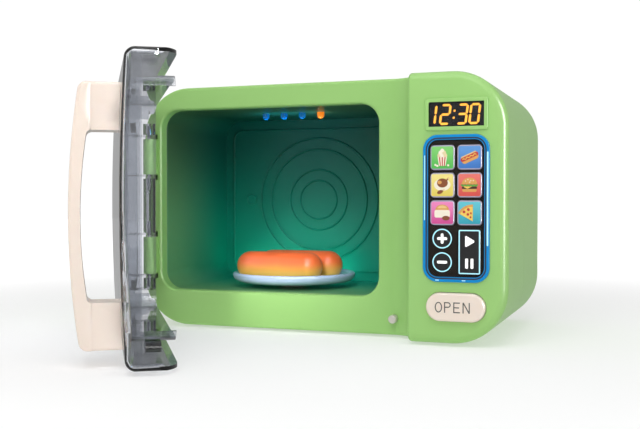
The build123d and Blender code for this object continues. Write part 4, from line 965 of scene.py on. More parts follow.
def coil_rule() -> Rule:
    """Rule that winds a compression spring along Y from every point.

    Returns:
        The rule, with inputs Radius, Wire Radius, Turns and Length.
    """
    rule = Rule("compression_springs", SPRING_STEEL)
    radius = rule.size("Radius", 3.5 * MM)
    wire_r = rule.size("Wire Radius", 0.3 * MM)
    turns = rule.size("Turns", 4.0)
    length = rule.size("Length", 8.0 * MM)
    spiral = add_node(rule.tree, "GeometryNodeCurveSpiral",
                      {"Resolution": 28, "Rotations": turns, "Start Radius": radius, "End Radius": radius,
                       "Height": length})
    section = add_node(rule.tree, "GeometryNodeCurvePrimitiveCircle", {"Resolution": 10, "Radius": wire_r})
    wire = add_node(rule.tree, "GeometryNodeCurveToMesh",
                    {"Curve": spiral, "Profile Curve": section, "Fill Caps": True})
    rule.end(rule.laid(wire, (-math.pi / 2, 0.0, 0.0)))
    return rule


def rib_rule(finish: Finish) -> Rule:
    """Rule that lays a row of half-round ribs along Z from every point.

    Args:
        finish: the ribs' finish.

    Returns:
        The rule, with inputs Count, Pitch, Length and Radius.
    """
    rule = Rule("grip_ribs_" + finish.name, finish)
    count = rule.size("Count", 5, "NodeSocketInt")
    pitch = rule.size("Pitch", 2 * MM)
    length = rule.size("Length", 10 * MM)
    radius = rule.size("Radius", 0.5 * MM)
    rod = add_node(rule.tree, "GeometryNodeMeshCylinder", {"Vertices": 16, "Radius": radius, "Depth": length})
    step = add_node(rule.tree, "ShaderNodeCombineXYZ", {"Z": pitch})
    line = add_node(rule.tree, "GeometryNodeMeshLine", {"Count": count, "Offset": step})
    lying = rule.laid(rod, (0.0, math.pi / 2, 0.0))
    rule.end(add_node(rule.tree, "GeometryNodeInstanceOnPoints", {"Points": line, "Instance": lying}))
    return rule


@dataclass
class Box:
    """Lowest and highest corners of a CAD node, in millimetres."""

    low: Vector
    high: Vector

    @classmethod
    def of(cls, node: str) -> "Box":
        """Box of a CAD node at rest."""
        low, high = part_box(node)
        return cls(low / MM, high / MM)

    @property
    def mid(self) -> Vector:
        """Middle of the box."""
        return (self.low + self.high) / 2

    @property
    def size(self) -> Vector:
        """Sides of the box."""
        return self.high - self.low


def hang(data: bpy.types.Light | bpy.types.Camera, place: Vector, toward: Vector) -> Object:
    """Put a light or a camera in the scene.

    Args:
        data: the light or the camera.
        place: where it hangs, in metres.
        toward: the direction in which it looks.

    Returns:
        Its object.
    """
    holder = bpy.data.objects.new(data.name, data)
    holder.matrix_world = Matrix.Translation(place) @ toward.to_track_quat("-Z", "Y").to_matrix().to_4x4()
    bpy.context.scene.collection.objects.link(holder)
    return holder


@dataclass
class Studio:
    """Pale sweep, soft lights and the camera of the photograph."""

    camera_mm: Triple = (215.6, -627.4, 89.2)
    focal_px: float = 935.0
    look_left_deg: float = 20.14
    look_down_deg: float = 0.94
    sweep_mm: float = 6000.0
    fill: float = 0.42
    rake_back: float = 14.0
    rake_up: float = 6.0
    rake_left: float = 20.0
    rake_size: Point = (90 * MM, 5 * MM)
    rake_watts: float = 0.014
    spot_m: Triple = (0.06, -0.6, 0.24)
    spot_cone_deg: float = 10.0
    spot_watts: float = 13.5
    white: float = 1.02

    def build(self) -> None:
        """Build the camera, the floor, the lights and the air."""
        self.camera()
        self.floor()
        self.lights()
        self.rake()
        self.spot()
        self.world()

    def camera(self) -> None:
        """Place the camera as fitted to the photograph."""
        lens = bpy.data.cameras.new("photo_camera")
        lens.sensor_width = 36.0
        lens.lens = self.focal_px / IMAGE_WIDTH_PX * lens.sensor_width
        lens.clip_start, lens.clip_end = 0.01, 50.0
        left, down = math.radians(self.look_left_deg), math.radians(self.look_down_deg)
        forward = Vector((-math.sin(left) * math.cos(down), math.cos(left) * math.cos(down), -math.sin(down)))
        bpy.context.scene.camera = hang(lens, Vector(self.camera_mm) * MM, forward)

    def floor(self) -> None:
        """Lay the floor that the toy stands on."""
        half = self.sweep_mm / 2 * MM
        corners = [(-half, -half, 0), (half, -half, 0), (half, half, 0), (-half, half, 0)]
        mesh = mesh_of("studio_floor", corners, [(0, 1, 2, 3)])
        make_object("studio_floor", mesh, [StudioPaper("matt_white_paper")])

    def lights(self) -> None:
        """Hang the soft boxes and the strip that draws the module's edge."""
        self.soft_box("key_box", (0.08, -0.52, 0.68), (0.0, -0.02, 0.14), (0.45, 0.45), 2.2)
        self.soft_box("front_box", (0.4, -1.2, 0.3), (0.0, -0.05, 0.08), (0.8, 0.6), 1.0)
        self.soft_box("left_box", (-0.9, -0.5, 0.35), (-0.14, -0.1, 0.1), (0.5, 0.5), 0.5)
        self.soft_box("top_box", (0.0, 0.0, 1.8), (0.0, 0.0, 0.0), (2.0, 2.0), 9.0)
        strip = self.soft_box("edge_strip", (1.25, -0.62, 0.3), (0.12, -0.06, 0.1), (0.3, 1.2), 80.0)
        strip.visible_diffuse = strip.visible_transmission = False

    def soft_box(self, name: str, place: Sequence[float], aim: Sequence[float], size: Point,
                 watts: float) -> Object:
        """Hang one soft box.

        Args:
            name: the light's name.
            place: where it hangs, in metres.
            aim: what it points at, in metres.
            size: its width and height, in metres.
            watts: its power.

        Returns:
            The light's object.
        """
        lamp = bpy.data.lights.new(name, "AREA")
        lamp.shape = "RECTANGLE"
        lamp.size, lamp.size_y = size
        lamp.energy = watts
        return hang(lamp, Vector(place), Vector(aim) - Vector(place))

    def rake(self) -> None:
        """Light the cavity's back wall from just above its floor, so that its rings stand out."""
        tub = Box.of("cavity_liner")
        x = tub.mid.x - self.rake_left
        place = Vector((x, tub.high.y - self.rake_back, tub.low.z + self.rake_up)) * MM
        aim = Vector((x, tub.high.y, tub.high.z)) * MM
        glow = self.soft_box("back_glow", place, aim, self.rake_size, self.rake_watts)
        glow.data.color = (0.35, 1.0, 0.85)
        glow.visible_camera = glow.visible_glossy = False

    def spot(self) -> None:
        """Hang a soft-edged spot that picks out the dish."""
        lamp = bpy.data.lights.new("dish_spot", "SPOT")
        lamp.spot_size = math.radians(self.spot_cone_deg)
        lamp.spot_blend = 1.0
        lamp.shadow_soft_size = 40 * MM
        lamp.energy = self.spot_watts
        place = Vector(self.spot_m)
        hang(lamp, place, Box.of("turntable_plate").mid * MM - place)

    def world(self) -> None:
        """Light the whole studio evenly and keep its whites white."""
        world = bpy.data.worlds.new("studio_air")
        world.use_nodes = True
        tree = world.node_tree
        tree.nodes.clear()
        # The sweep looks white, also through clear plastic; moulded faces get less light and keep their shade
        matt, glossy, clear = (add_node(tree, "ShaderNodeLightPath", out=f"Is {kind} Ray")
                               for kind in ("Diffuse", "Glossy", "Transmission"))
        bounced = calc(tree, "SUBTRACT", calc(tree, "MAXIMUM", matt, glossy), clear, clamp=True)
        power = spread(tree, bounced, self.white, self.fill)
        air = add_node(tree, "ShaderNodeBackground", {"Color": EVEN_WHITE, "Strength": power})
        add_node(tree, "ShaderNodeOutputWorld", {"Surface": air})
        bpy.context.scene.world = world
        bpy.context.scene.view_settings.view_transform = "Standard"


@dataclass
class Housing:
    """The two green shells, the base, and the screws that join them."""

    well_turn: Triple = (-math.pi / 2, 0.0, 0.0)
    under_turn: Triple = (math.pi, 0.0, 0.0)
    head_r: float = 2.9
    shank_r: float = 1.45

    def build(self) -> None:
        """Dress the shells and replace the screws."""
        refine("front_housing", GREEN, Edge.SOFT)
        refine_all(GREEN, "rear_housing", "base_plate")
        rule = screw_rule()
        self.screws(rule, "case_screws", self.well_turn, 2.0, 1)
        self.screws(rule, "liner_screws", self.well_turn, 2.0, 1)
        self.screws(rule, "base_screws", self.under_turn, 1.1, 2)
        self.screws(rule, "battery_door_screw", self.well_turn, 1.2, 1)

    def screws(self, rule: Rule, node: str, turn: Triple, head_h: float, axis: int) -> None:
        """Stand cross-head screws in for the plain ones of a node.

        Args:
            rule: the screw rule.
            node: the CAD node of plain screws.
            turn: turn that lays a screw along its hole.
            head_h: height of its head, in millimetres.
            axis: axis of its hole, 1 for Y and 2 for Z.
        """
        spots, length = screw_spots(node, head_h, axis)
        sizes = {"Head Radius": self.head_r * MM, "Head Height": head_h * MM,
                 "Shank Radius": self.shank_r * MM, "Shank Length": length, "Turn": turn}
        rule.bake(node + "_crossed", spots, sizes, node, True)


def screw_spots(node: str, head_h: float, axis: int) -> tuple[list[Vector], float]:
    """Find where each screw of a node seats, from the node's separate solids.

    Args:
        node: the CAD node.
        head_h: height of the heads, in millimetres.
        axis: axis of the screws, 1 for Y and 2 for Z.

    Returns:
        The seats in metres and the shank's length in metres.
    """
    welded = bmesh.new()
    welded.from_mesh(frame["nodes"][node].data)
    bmesh.ops.remove_doubles(welded, verts=welded.verts, dist=WELD)
    unseen = set(welded.verts)
    seats: list[Vector] = []
    length = 0.0
    while unseen:
        group = [unseen.pop()]
        at = 0
        while at < len(group):
            near = {edge.other_vert(group[at]) for edge in group[at].link_edges} & unseen
            unseen -= near
            group += near
            at += 1
        low, high = [Vector([pick(vert.co[one] for vert in group) for one in range(3)]) for pick in (min, max)]
        seat = (low + high) / 2
        seat[axis] = high[1] - head_h * MM if axis == 1 else low[2] + head_h * MM
        seats.append(seat)
        length = high[axis] - low[axis] - head_h * MM
    welded.free()
    return sorted(seats, key=lambda seat: (round(seat.x, 4), round(seat.z, 4), round(seat.y, 4))), length


@dataclass
class Display:
    """Green bezel, dark pane and amber digits."""

    slant_deg: float = 7.0
    digit_w: float = 5.2
    digit_h: float = 11.2
    bar: float = 1.35
    gap: float = 0.15
    colon_left: float = 1.6
    colon_rise: float = 2.1
    colon_side: float = 1.2
    colon_corner: float = 0.3

    SEGMENTS = {"1": "bc", "2": "abged", "3": "abgcd", "0": "abcdef"}

    def build(self) -> None:
        """Dress the display."""
        refine("display_bezel", GREEN)
        refine("display_window", PANE)
        keep("digit_display", INK_BLACK)
        block = Box.of("digit_display")
        relief = Relief("display_digits", block.low.y)
        x, z = block.mid.x, block.mid.z
        for glyph, shift in (("1", -15.6), ("2", -7.0), ("3", 3.4), ("0", 10.8)):
            self.digit(relief, glyph, x + shift, z)
        for rise in (-self.colon_rise, self.colon_rise):
            dot = rounded_box(x - self.colon_left, z + rise, self.colon_side, self.colon_side,
                              self.colon_corner)
            relief.area(self.slanted(dot, z), INK_AMBER)
        relief.build("digit_display")

    def slanted(self, points: Sequence[Point], foot: float) -> list[Point]:
        """Lean points to the right of an upright through their foot."""
        lean = math.tan(math.radians(self.slant_deg))
        return [(x + (z - foot) * lean, z) for x, z in points]

    def digit(self, relief: Relief, glyph: str, x: float, z: float) -> None:
        """Draw one seven-segment digit.

        Args:
            relief: the relief that takes the segments.
            glyph: the digit.
            x: centre across.
            z: centre height.
        """
        right, top = self.digit_w / 2, self.digit_h / 2
        ends = {
            "a": ((-right, top), (right, top)), "b": ((right, top), (right, 0)),
            "c": ((right, 0), (right, -top)), "d": ((-right, -top), (right, -top)),
            "e": ((-right, 0), (-right, -top)), "f": ((-right, top), (-right, 0)),
            "g": ((-right, 0), (right, 0)),
        }
        for name in self.SEGMENTS[glyph]:
            start, end = (Vector(point) for point in ends[name])
            run = (end - start).normalized()
            side = Vector((-run.y, run.x)) * self.bar / 2
            first = start + run * (self.gap + self.bar / 2)
            last = end - run * (self.gap + self.bar / 2)
            tip_a, tip_b = first - run * self.bar / 2, last + run * self.bar / 2
            outline = [tip_a, first - side, last - side, tip_b, last + side, first + side]
            placed = [(x + point.x, z + point.y) for point in outline]
            relief.area(self.slanted(placed, z), INK_AMBER)


@dataclass
class Food:
    """Picture of food on a key, drawn from the middle of its tile, in millimetres."""

    relief: Relief
    x: float
    z: float

    def placed(self, points: Sequence[Point]) -> list[Point]:
        """Move points that count from the tile's middle to their place."""
        return [(self.x + dx, self.z + dz) for dx, dz in points]

    def shape(self, points: Sequence[Point], ink: Finish, layer: float) -> None:
        """Raise a filled shape."""
        self.relief.area(self.placed(points), ink, layer)

    def line(self, points: Sequence[Point], width: float, ink: Finish, layer: int) -> None:
        """Raise a pen stroke."""
        self.relief.stroke(self.placed(points), width, ink, layer)

    def oval(self, dx: float, dz: float, radius: float, ink: Finish, layer: float, flatten: float = 1.0,
             sides: int = 24) -> None:
        """Raise an oval, whose radius runs across."""
        self.shape(ring((dx, dz), radius, flatten * radius, sides), ink, layer)

    def slab(self, rise: float, width: float, height: float, corner: float, ink: Finish, layer: int,
             lean_deg: float = 0.0) -> None:
        """Raise a slab with round corners, leaning about the tile's middle."""
        self.shape(turned(rounded_box(0.0, rise, width, height, corner), (0.0, 0.0), lean_deg), ink, layer)

    def popcorn(self) -> None:
        """Striped tub with popped corn heaped over it."""
        top, foot, wide, low, high = 2.9, 2.0, 0.6, -5.0, 0.6
        self.shape([(-foot, low), (foot, low), (top, high), (-top, high)], INK_CREAM, 1)
        for share in (-0.72, -0.12, 0.48):
            under, over = share * foot, share * top
            stripe = [(under, low), (under + wide, low), (over + wide * 1.2, high), (over, high)]
            self.shape(stripe, INK_RED, 2)
        corn = ((-1.9, 1.3, 1.15), (0.0, 1.6, 1.4), (1.9, 1.3, 1.15), (-1.1, 2.9, 1.2), (1.1, 3.0, 1.2),
                (0.0, 4.2, 1.15))
        for number, spot in enumerate(corn):
            self.oval(*spot, INK_CREAM if number % 2 else INK_PALE, 3 + 0.4 * number)
        for dx, dz in ((-4.2, -4.4), (-3.0, -5.0), (3.6, -4.7)):
            self.oval(dx, dz, 0.65, INK_CREAM, 1, sides=18)

    def hot_dog(self) -> None:
        """Hot dog that leans up to the right, with a wavy line of mustard."""
        lean_deg = 24
        self.slab(-0.9, 10.6, 3.4, 1.7, INK_TAN, 1, lean_deg)
        self.slab(0.2, 11.4, 2.3, 1.1, INK_RED, 2, lean_deg)
        self.slab(1.35, 10.0, 1.5, 0.7, INK_BREAD, 1, lean_deg)
        wave = [(0.4 * at - 4.4, 0.2 + 0.45 * math.sin(at * 1.05)) for at in range(23)]
        self.line(turned(wave, (0.0, 0.0), lean_deg), 0.45, INK_CHEESE, 3)

    def roast(self) -> None:
        """Roast bird on a white dish, with a drumstick in front."""
        self.oval(0.0, 0.2, 5.0, INK_CREAM, 1, 0.72, 36)
        self.oval(0.1, 1.3, 3.3, INK_BROWN, 2, 0.82, 36)
        self.oval(-1.6, 1.7, 1.3, INK_TAN, 3, 0.8)
        self.line([(2.6, 2.8), (3.6, 4.0)], 0.9, INK_BROWN, 2)
        self.oval(3.7, 4.2, 0.6, INK_BREAD, 3, sides=18)
        self.shape(turned(ring((-1.4, -3.6), 1.9, 0.55 * 1.9, 24), (0.0, -3.6), 22), INK_BROWN, 3)
        self.line([(-0.4, -3.4), (1.5, -2.7)], 0.5, INK_BREAD, 3)

    def burger(self) -> None:
        """Burger with its salad and seeds."""
        self.shape(arc((0.0, 0.6), 4.6, 0, 180, 24, 0.82), INK_TAN, 2)
        self.slab(-3.1, 8.6, 1.9, 0.9, INK_TAN, 1)
        self.slab(-1.6, 9.0, 1.5, 0.6, INK_DARK, 2)
        self.shape([(-4.0, -0.8), (1.6, -0.8), (-1.2, -2.3)], INK_CHEESE, 3)
        frill = [(0.5 * at - 5.0, 0.35 * math.sin(at * 1.7) - 0.25) for at in range(21)]
        self.line(frill, 1.0, INK_LEAF, 3)
        for dx, dz in ((-2.4, 2.4), (-0.9, 3.3), (0.8, 2.6), (2.3, 2.6), (0.2, 1.7)):
            self.oval(dx, dz, 0.28, INK_CREAM, 4, 1.3, 12)

    def bun(self) -> None:
        """Round bun in a white wrapper with a small brown cake beside it."""
        self.shape(arc((0.0, 1.6), 4.2, 0, 180, 24, 0.8), INK_TAN, 1)
        self.shape(arc((0.0, 2.4), 2.9, 10, 170, 20, 0.7), INK_BREAD, 2)
        self.slab(-0.6, 9.4, 4.6, 1.1, INK_CREAM, 3)
        self.oval(2.3, -3.2, 2.3, INK_BROWN, 4, 0.6)

    def pizza(self) -> None:
        """Slice of pizza with its crust to the upper left."""
        point, hub = (2.0, -5.0), (1.8, -4.8)
        self.shape([point] + arc(hub, 9.8, 88, 152, 12), INK_TAN, 1)
        self.shape([point] + arc(hub, 8.4, 89, 151, 12), INK_CHEESE, 2)
        for spot in ((-3.2, 0.6, 0.85), (-0.6, 2.0, 0.9), (-0.9, -0.9, 0.8), (0.9, -0.2, 0.6),
                     (0.7, -2.6, 0.6)):
            self.oval(*spot, INK_RED, 3, sides=18)


class Picture(Enum):
    """Key pictures, each with its node, the two tones of its ground and what draws it."""

    POPCORN = ("key_popcorn", "#48B84A", "#7FD06E", Food.popcorn)
    HOT_DOG = ("key_hot_dog", "#2F6FBE", "#5C97D8", Food.hot_dog)
    ROAST = ("key_roast_chicken", "#E2CB52", "#F2E287", Food.roast)
    BURGER = ("key_burger", "#D3443C", "#E8746A", Food.burger)
    BUN = ("key_bun", "#D1408F", "#EE86BE", Food.bun)
    PIZZA = ("key_pizza", "#1F9DB2", "#5FC4D2", Food.pizza)


@dataclass
class Keypad:
    """Blue bezel with its light strips, dotted plate and nine keys."""

    rim_w: float = 0.75
    picture_inset: float = 1.1
    strip_w: float = 0.9
    strip_inset: float = 1.15
    ring_w: float = 0.7
    ring_inset: float = 0.7
    frame_inset: float = 1.8
    sign_long: float = 6.2
    sign_wide: float = 1.7
    sign_corner: float = 0.8

    def build(self) -> None:
        """Dress the keypad."""
        refine("keypad_bezel", BLUE)
        refine("keypad_plate", DOTTED)
        refine("key_membrane", RUBBER)
        self.strips()
        for picture in Picture:
            self.picture_key(picture)
        self.round_key("key_plus", upright=True)
        self.round_key("key_minus", upright=False)
        self.play_key("key_play_pause")

    def strips(self) -> None:
        """Lay the light strips along both long sides of the bezel and the dark lip round the plate."""
        bezel = Box.of("keypad_bezel")
        relief = Relief("bezel_strips", bezel.low.y, lift=0.05, sink=0.1)
        inset = self.strip_inset
        for x, low, high, width in ((bezel.low.x + inset, 0.42, 0.86, self.strip_w * 0.55),
                                    (bezel.high.x - inset, 0.25, 0.88, self.strip_w)):
            foot, top = (bezel.low.z + bezel.size.z * share for share in (low, high))
            relief.area(rounded_box(x, (foot + top) / 2, width, top - foot, width * 0.4), INK_ICE)
        plate = Box.of("keypad_plate")
        outer, inner = (rounded_box(plate.mid.x, plate.mid.z, plate.size.x + more, plate.size.z + more, radius)
                        for more, radius in ((1.7, 7.2), (-0.1, 6.3)))
        relief.band(outer, inner, INK_NAVY)
        for shift in (-0.28, 0.12):
            x = bezel.mid.x + shift * bezel.size.x
            relief.area(rounded_box(x, bezel.low.z + inset, 2.2, 0.5, 0.2), INK_ICE)
        relief.build("keypad_bezel")

    def picture_key(self, picture: Picture) -> None:
        """Dress one picture key.

        Args:
            picture: which key it is.
        """
        node, low, high, draw = picture.value
        refine(node, KEY_RIM)
        box = Box.of(node)
        # The ground glows faintly though no lamp lights it: painted light
        ground_with_painted_glow = ShadedAbs(node + "_ground_painted_glow", low, high, box.low.z, box.high.z, roughness=0.3, glow=0.06)
        relief = Relief(node + "_picture", box.low.y)
        tile = box.size.x - self.picture_inset - 2 * self.rim_w
        relief.area(rounded_box(box.mid.x, box.mid.z, tile, tile, 1.0), ground_with_painted_glow)
        draw(Food(relief, box.mid.x, box.mid.z))
        relief.build(node)

    def round_key(self, node: str, upright: bool) -> None:
        """Dress a round key with its ring and its sign.

        Args:
            node: the key's CAD node.
            upright: whether the sign has an upright bar too.
        """
        refine(node, KEY_BLACK)
        box = Box.of(node)
        radius = box.size.x / 2 - self.ring_inset
        relief = Relief(node + "_sign", box.low.y)
        x, z = box.mid.x, box.mid.z
        outer, inner = (ring((x, z), reach, reach, 48) for reach in (radius, radius - self.ring_w))
        relief.band(outer, inner, INK_ICE)
        relief.area(rounded_box(x, z, self.sign_long, self.sign_wide, self.sign_corner), INK_WHITE, 1)
        if upright:
            relief.area(rounded_box(x, z, self.sign_wide, self.sign_long, self.sign_corner), INK_WHITE)
        relief.build(node)

    def play_key(self, node: str) -> None:
        """Dress the tall key with its frame, triangle and two bars.

        Args:
            node: the key's CAD node.
        """
        refine(node, KEY_BLACK)
        box = Box.of(node)
        x, z = box.mid.x, box.mid.z
        width, height = box.size.x - self.frame_inset, box.size.z - self.frame_inset
        relief = Relief(node + "_sign", box.low.y)
        relief.band(rounded_box(x, z, width, height, 0.8),
                    rounded_box(x, z, width - 2 * self.ring_w, height - 2 * self.ring_w, 0.3), INK_ICE)
        tip = z + height * 0.24
        relief.area([(x - 2.5, tip - 3.0), (x - 1.9, tip - 3.3), (x + 2.9, tip - 0.5), (x + 2.9, tip + 0.5),
                     (x - 1.9, tip + 3.3), (x - 2.5, tip + 3.0)], INK_WHITE, 1)
        for shift in (-1.6, 1.6):
            relief.area(rounded_box(x + shift, z - height * 0.26, 1.7, 6.0, 0.5), INK_WHITE, 1)
        relief.build(node)


@dataclass
class Release:
    """Cream button with its plain word, rocker, push pin and springs."""

    letter_h: float = 6.4
    letter_w: float = 4.5
    letter_gap: float = 1.1
    pen: float = 0.65
    word_shift: float = -1.6
    narrowing: float = 0.82
    wire: float = 0.35

    def build(self) -> None:
        """Dress the door release."""
        refine("open_button", CREAM)
        refine("open_rocker", WHITE, Edge.FINE)
        refine("push_pin", PIN_GREY)
        self.word()
        rule = coil_rule()
        self.spring(rule, "pin_spring", 3.4, 3.0, 3.6)
        self.spring(rule, "button_spring", 3.6, 5.0, 3.5)

    def spring(self, rule: Rule, node: str, radius: float, turns: float, travel: float) -> None:
        """Stand a finely wound spring in for a plain one.

        Args:
            rule: the coil rule.
            node: the CAD node of the spring.
            radius: its mean radius, in millimetres.
            turns: how often it goes round.
            travel: how far that joint goes, in millimetres.
        """
        box = Box.of(node)
        start = Vector((box.mid.x, box.low.y + self.wire, box.mid.z)) * MM
        sizes = {"Radius": radius * MM, "Wire Radius": self.wire * MM, "Turns": turns,
                 "Length": (box.size.y - 2 * self.wire) * MM}
        piece = rule.bake(node + "_coil", [start], sizes, node, True)
        (box.size.y - travel) / box.size.y
        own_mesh(piece)

    def word(self) -> None:
        """Print the plain opening word on the button."""
        face = Box.of("open_button")
        relief = Relief("button_word", face.low.y, lift=0.05)
        step = self.letter_w + self.letter_gap
        x = Box.of("keypad_bezel").mid.x + self.word_shift - 1.5 * step
        z = face.mid.z
        half_w, half_h, half_pen = self.letter_w / 2, self.letter_h / 2, self.pen / 2
        relief.band(ring((x, z), half_w, half_h, 40),
                    ring((x, z), half_w - self.pen, half_h - self.pen, 40), INK_GREY)
        right, top = half_w * self.narrowing, half_h
        stem = [(-right, -top), (-right, top)]
        bowl = [(-right, top - half_pen)]
        bowl += arc((right * 0.1, top * 0.47), top * 0.53 - half_pen, 90, -90, 12)
        bowl += [(-right, half_pen - top * 0.06)]
        arms = [[(-right, rise), (right * reach, rise)]
                for rise, reach in ((top - half_pen, 1.0), (0.0, 0.7), (half_pen - top, 1.0))]
        far_stem, slope = [(right, -top), (right, top)], [(-right, top), (right, -top)]
        for number, lines in enumerate(([stem, bowl], [stem, *arms], [stem, far_stem, slope]), start=1):
            for line in lines:
                relief.stroke([(x + number * step + dx, z + dz) for dx, dz in line], self.pen, INK_GREY)
        relief.build("open_button")


@dataclass
class Door:
    """Smoky clear shell and frame, cream handle, steel pins and screws."""

    bow_depth: float = 39.6
    bow_slope: float = 1.0
    post_inset: float = 1.4
    screw_reach: float = 6.0

    def build(self) -> None:
        """Dress the door."""
        refine_all(SMOKY, "door_window", "door_frame")
        self.narrow_posts(refine("door_handle", CREAM))
        refine_all(STEEL, "handle_screws", "hinge_pins")

    def narrow_posts(self, handle: Object) -> None:
        """Draw the handle's posts in on both sides, so that its bow stands proud of them.

        Args:
            handle: the dressed handle.
        """
        joint = next(row for row in frame["record"]["behaviour"]["joints"] if row["name"] == "door_hinge")
        hinge = Vector(joint["pos_m"])
        opened = math.radians(joint["range_deg"][1])
        across = Vector((math.cos(opened), -math.sin(opened), 0.0))
        outward = Vector((-math.sin(opened), -math.cos(opened), 0.0))
        with edited(handle.data) as shape:
            bmesh.ops.triangulate(shape, faces=shape.faces)
            for depth in (self.bow_depth, self.bow_depth - self.bow_slope):
                everything = shape.verts[:] + shape.edges[:] + shape.faces[:]
                bmesh.ops.bisect_plane(shape, geom=everything, plane_co=hinge + outward * depth * MM,
                                       plane_no=outward)
            places = [(vert.co - hinge).dot(across) / MM for vert in shape.verts]
            middle = (min(places) + max(places)) / 2
            for vert, place in zip(shape.verts, places):
                depth = (vert.co - hinge).dot(outward) / MM
                if depth < self.bow_depth - self.bow_slope / 2 and abs(place - middle) > self.screw_reach:
                    vert.co -= across * math.copysign(self.post_inset, place - middle) * MM
        smooth(handle.data, CREASE_DEG)


@dataclass
class Cavity:
    """Green tub with its lamps, and the lamp board above it."""

    lamp_watts: float = 0.009
    lamp_drop: float = 4.5
    lamp_blue: Triple = (0.05, 0.45, 0.9)
    lamp_orange: Triple = (0.9, 0.5, 0.5)
    lens_radius: float = 2.5
    wall: float = 2.0
    ear_reach: float = 9.3
    foot_rise: float = 1.6
    panel_rise: float = 1.5
    panel_inset: float = 7.0
    panel_corner: float = 8.0
    ring_rise: float = 0.8
    ring_shares: tuple[float, ...] = (0.384, 0.315, 0.187, 0.12)
    boss_radius: float = 4.3
    boss_inset: float = 23.1
    bead_radius: float = 0.6

    def build(self) -> None:
        """Dress the cavity and light its lamps."""
        refine("cavity_liner", LINER_PAINTED_LIGHT, Edge.SOFT)
        refine("cavity_leds_blue", LAMP_BLUE)
        refine("cavity_led_orange", LAMP_ORANGE)
        keep("led_board", LAMINATE)
        self.beads()
        self.lamps()

    def lamps(self) -> None:
        """Light a small lamp under each lens."""
        blue = Box.of("cavity_leds_blue")
        spots = [(x, self.lamp_blue) for x in (blue.low.x + self.lens_radius, blue.mid.x,
                                               blue.high.x - self.lens_radius)]
        spots.append((Box.of("cavity_led_orange").mid.x, self.lamp_orange))
        for number, (x, colour) in enumerate(spots):
            lamp = bpy.data.lights.new(f"lamp_glow_{number}", "POINT")
            lamp.energy = self.lamp_watts
            lamp.color = colour
            lamp.shadow_soft_size = 2 * MM
            place = Vector((x, blue.mid.y, blue.low.z - self.lamp_drop)) * MM
            hang(lamp, place, Vector((0.0, 0.0, -1.0))).visible_glossy = False

    def beads(self) -> None:
        """Round the crests of the back wall's panel, rings and boss, which catch fine lines of light."""
        tub = Box.of("cavity_liner")
        width = tub.size.x - 2 * self.ear_reach
        height = tub.size.z - 2 * self.wall - self.foot_rise
        x, z = tub.mid.x, tub.low.z + self.wall + height / 2
        panel_y = tub.high.y - self.wall - self.panel_rise
        trim = 2 * (self.panel_inset + self.bead_radius)
        panel = rounded_box(x, z, width - trim, height - trim, self.panel_corner - self.bead_radius)
        rounds = [(x, share * height, 120) for share in self.ring_shares]
        rounds.append((x - width / 2 + self.boss_inset, self.boss_radius - self.bead_radius, 40))
        runs = [(panel, panel_y)]
        for middle, radius, steps in rounds:
            runs.append((ring((middle, z), radius, radius, steps), panel_y - self.ring_rise))
        points: list[Vector] = []
        faces: Faces = []
        for outline, face_y in runs:
            more, quads = bead(outline, face_y, self.bead_radius)
            faces += [tuple(len(points) + corner for corner in quad) for quad in quads]
            points += more
        mesh = mesh_of("cavity_wall_beads", points, faces)
        mesh.shade_smooth()
        settle(make_object("cavity_wall_beads", mesh, [LINER_PAINTED_LIGHT]), "cavity_liner")


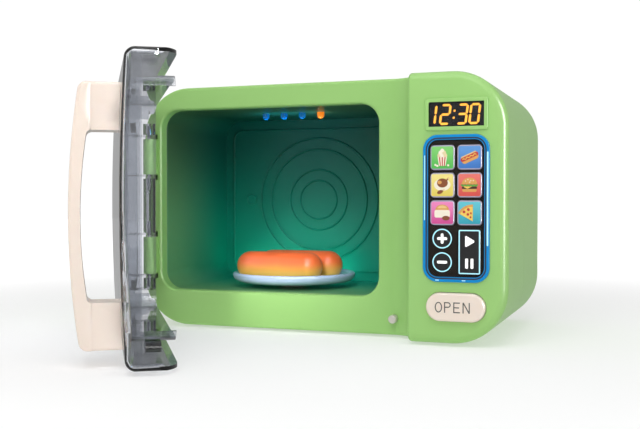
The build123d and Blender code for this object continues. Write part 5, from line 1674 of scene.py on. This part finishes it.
@dataclass
class Turntable:
    """Round dish, its drive, and the play sausages on it."""

    crease_deg: float = 50.0
    dish_segments: int = 128
    foot_inset: float = 9.5
    flare: float = 9.2
    rim: float = 1.7
    belly_drop: float = 2.9
    well_inset: float = 10.6
    well_drop: float = 0.4
    floor_t: float = 2.0
    underside: float = 0.5
    cap_rings: int = 10
    rings: int = 28
    facets: int = 40

    def build(self) -> None:
        """Dress the dish and shape the sausages."""
        self.dish()
        refine_all(WHITE, "drive_hub", "drive_gear", "motor_pinion")
        keep("turntable_motor", STEEL)
        for node in ("sausage_front", "sausage_back"):
            self.sausage(node)

    def dish(self) -> None:
        """Turn the dish from a finer profile, with a rolled rim."""
        box = Box.of("turntable_plate")
        radius = box.size.x / 2
        low, high = box.low.z, box.high.z
        foot, rim = radius - self.foot_inset, self.rim
        belly = high - low - self.belly_drop
        well = high - low - self.floor_t - self.well_drop
        profile = [(0.0, low), (foot, low)]
        profile += arc((foot, low + belly), self.flare, -90, -8, 14, belly / self.flare)
        profile += arc((radius - rim, high - rim), rim, -30, 160, 12)
        profile += arc((radius - self.well_inset, high - self.well_drop), well, -18, -90, 9)
        profile += [(0.0, low + self.floor_t)]
        mesh = mesh_of("turntable_dish", *lathe(profile, box.mid, self.dish_segments))
        smooth(mesh, self.crease_deg)
        settle(make_object("turntable_dish", mesh, [DISH]), "turntable_plate", True)

    def sausage(self, node: str) -> None:
        """Shape one sausage: a bowed tube with full round ends and a flat underside.

        Args:
            node: the CAD node that it stands for.
        """
        box = Box.of(node)
        radius = (box.size.z + self.underside) / 2
        reach = box.size.x / 2 - radius
        bow = box.size.y - 2 * radius
        centre_z = box.low.z + radius - self.underside
        caps = [math.pi / 2 * at / self.cap_rings for at in range(self.cap_rings + 1)]
        stations = [(-reach - radius * math.cos(a), radius * math.sin(a)) for a in caps]
        stations += [(-reach + 2 * reach * at / self.rings, radius) for at in range(1, self.rings)]
        stations += [(reach + radius * math.cos(a), radius * math.sin(a)) for a in caps[::-1]]
        points: list[Vector] = []
        rows: list[list[int]] = []
        for run, across in stations:
            spine_y = box.low.y + radius + bow * (1 - min(abs(run) / reach, 1.0) ** 2)
            first = len(points)
            count = self.facets if across > 0.01 else 1
            for y, z in ring((spine_y, centre_z), across, across, self.facets)[:count]:
                points.append(Vector((box.mid.x + run, y, max(z, box.low.z))) * MM)
            rows.append(list(range(first, first + count)) * (self.facets // count))
        mesh = mesh_of(node, points, skin(rows))
        with edited(mesh) as shell:
            bmesh.ops.recalc_face_normals(shell, faces=shell.faces)
        smooth(mesh, self.crease_deg)
        settle(make_object(node + "_sprayed", mesh, [SAUSAGE]), node, True)


@dataclass
class Rear:
    """What sits in the back: speaker, batteries and their cover, power switch."""

    def build(self) -> None:
        """Dress the rear pieces."""
        refine("battery_door", GREEN, Edge.FINE)
        refine("battery_box", WHITE)
        refine("batteries", JACKET)
        refine_all(BLACK, "speaker", "power_switch_body")
        refine("power_switch_knob", BLACK, Edge.FINE)
        keep("circuit_board", LAMINATE)
        keep("board_chips", BLACK)
        cover, knob = Box.of("battery_door"), Box.of("power_switch_knob")
        self.grip("cover_ribs", "battery_door", GREEN, (cover.mid.x, cover.high.y - 0.1, cover.low.z + 8.0),
                  (5, 2.6, 22.0, 0.45))
        self.grip("knob_ribs", "power_switch_knob", BLACK, (knob.mid.x, knob.high.y, knob.mid.z - 1.1),
                  (3, 1.1, 4.4, 0.25))

    def grip(self, name: str, node: str, finish: Finish, start: Triple,
             sizes: tuple[int, float, float, float]) -> None:
        """Raise finger ribs on a piece.

        Args:
            name: the new piece's name.
            node: the CAD node that carries it.
            finish: its finish.
            start: middle of the lowest rib, in millimetres.
            sizes: count, and pitch, length and radius in millimetres.
        """
        count, pitch, length, radius = sizes
        values = {"Count": count, "Pitch": pitch * MM, "Length": length * MM, "Radius": radius * MM}
        rib_rule(finish).bake(name, [Vector(start) * MM], values, node)


def main() -> None:
    """Build the studio and dress every sub-assembly."""
    logging.basicConfig(level=logging.INFO, format="%(message)s")
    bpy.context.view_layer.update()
    for part in (Studio(), Housing(), Display(), Keypad(), Release(), Door(), Cavity(), Turntable(), Rear()):
        log.info("building %s", type(part).__name__)
        part.build()


if __name__ == "__main__":
    main()
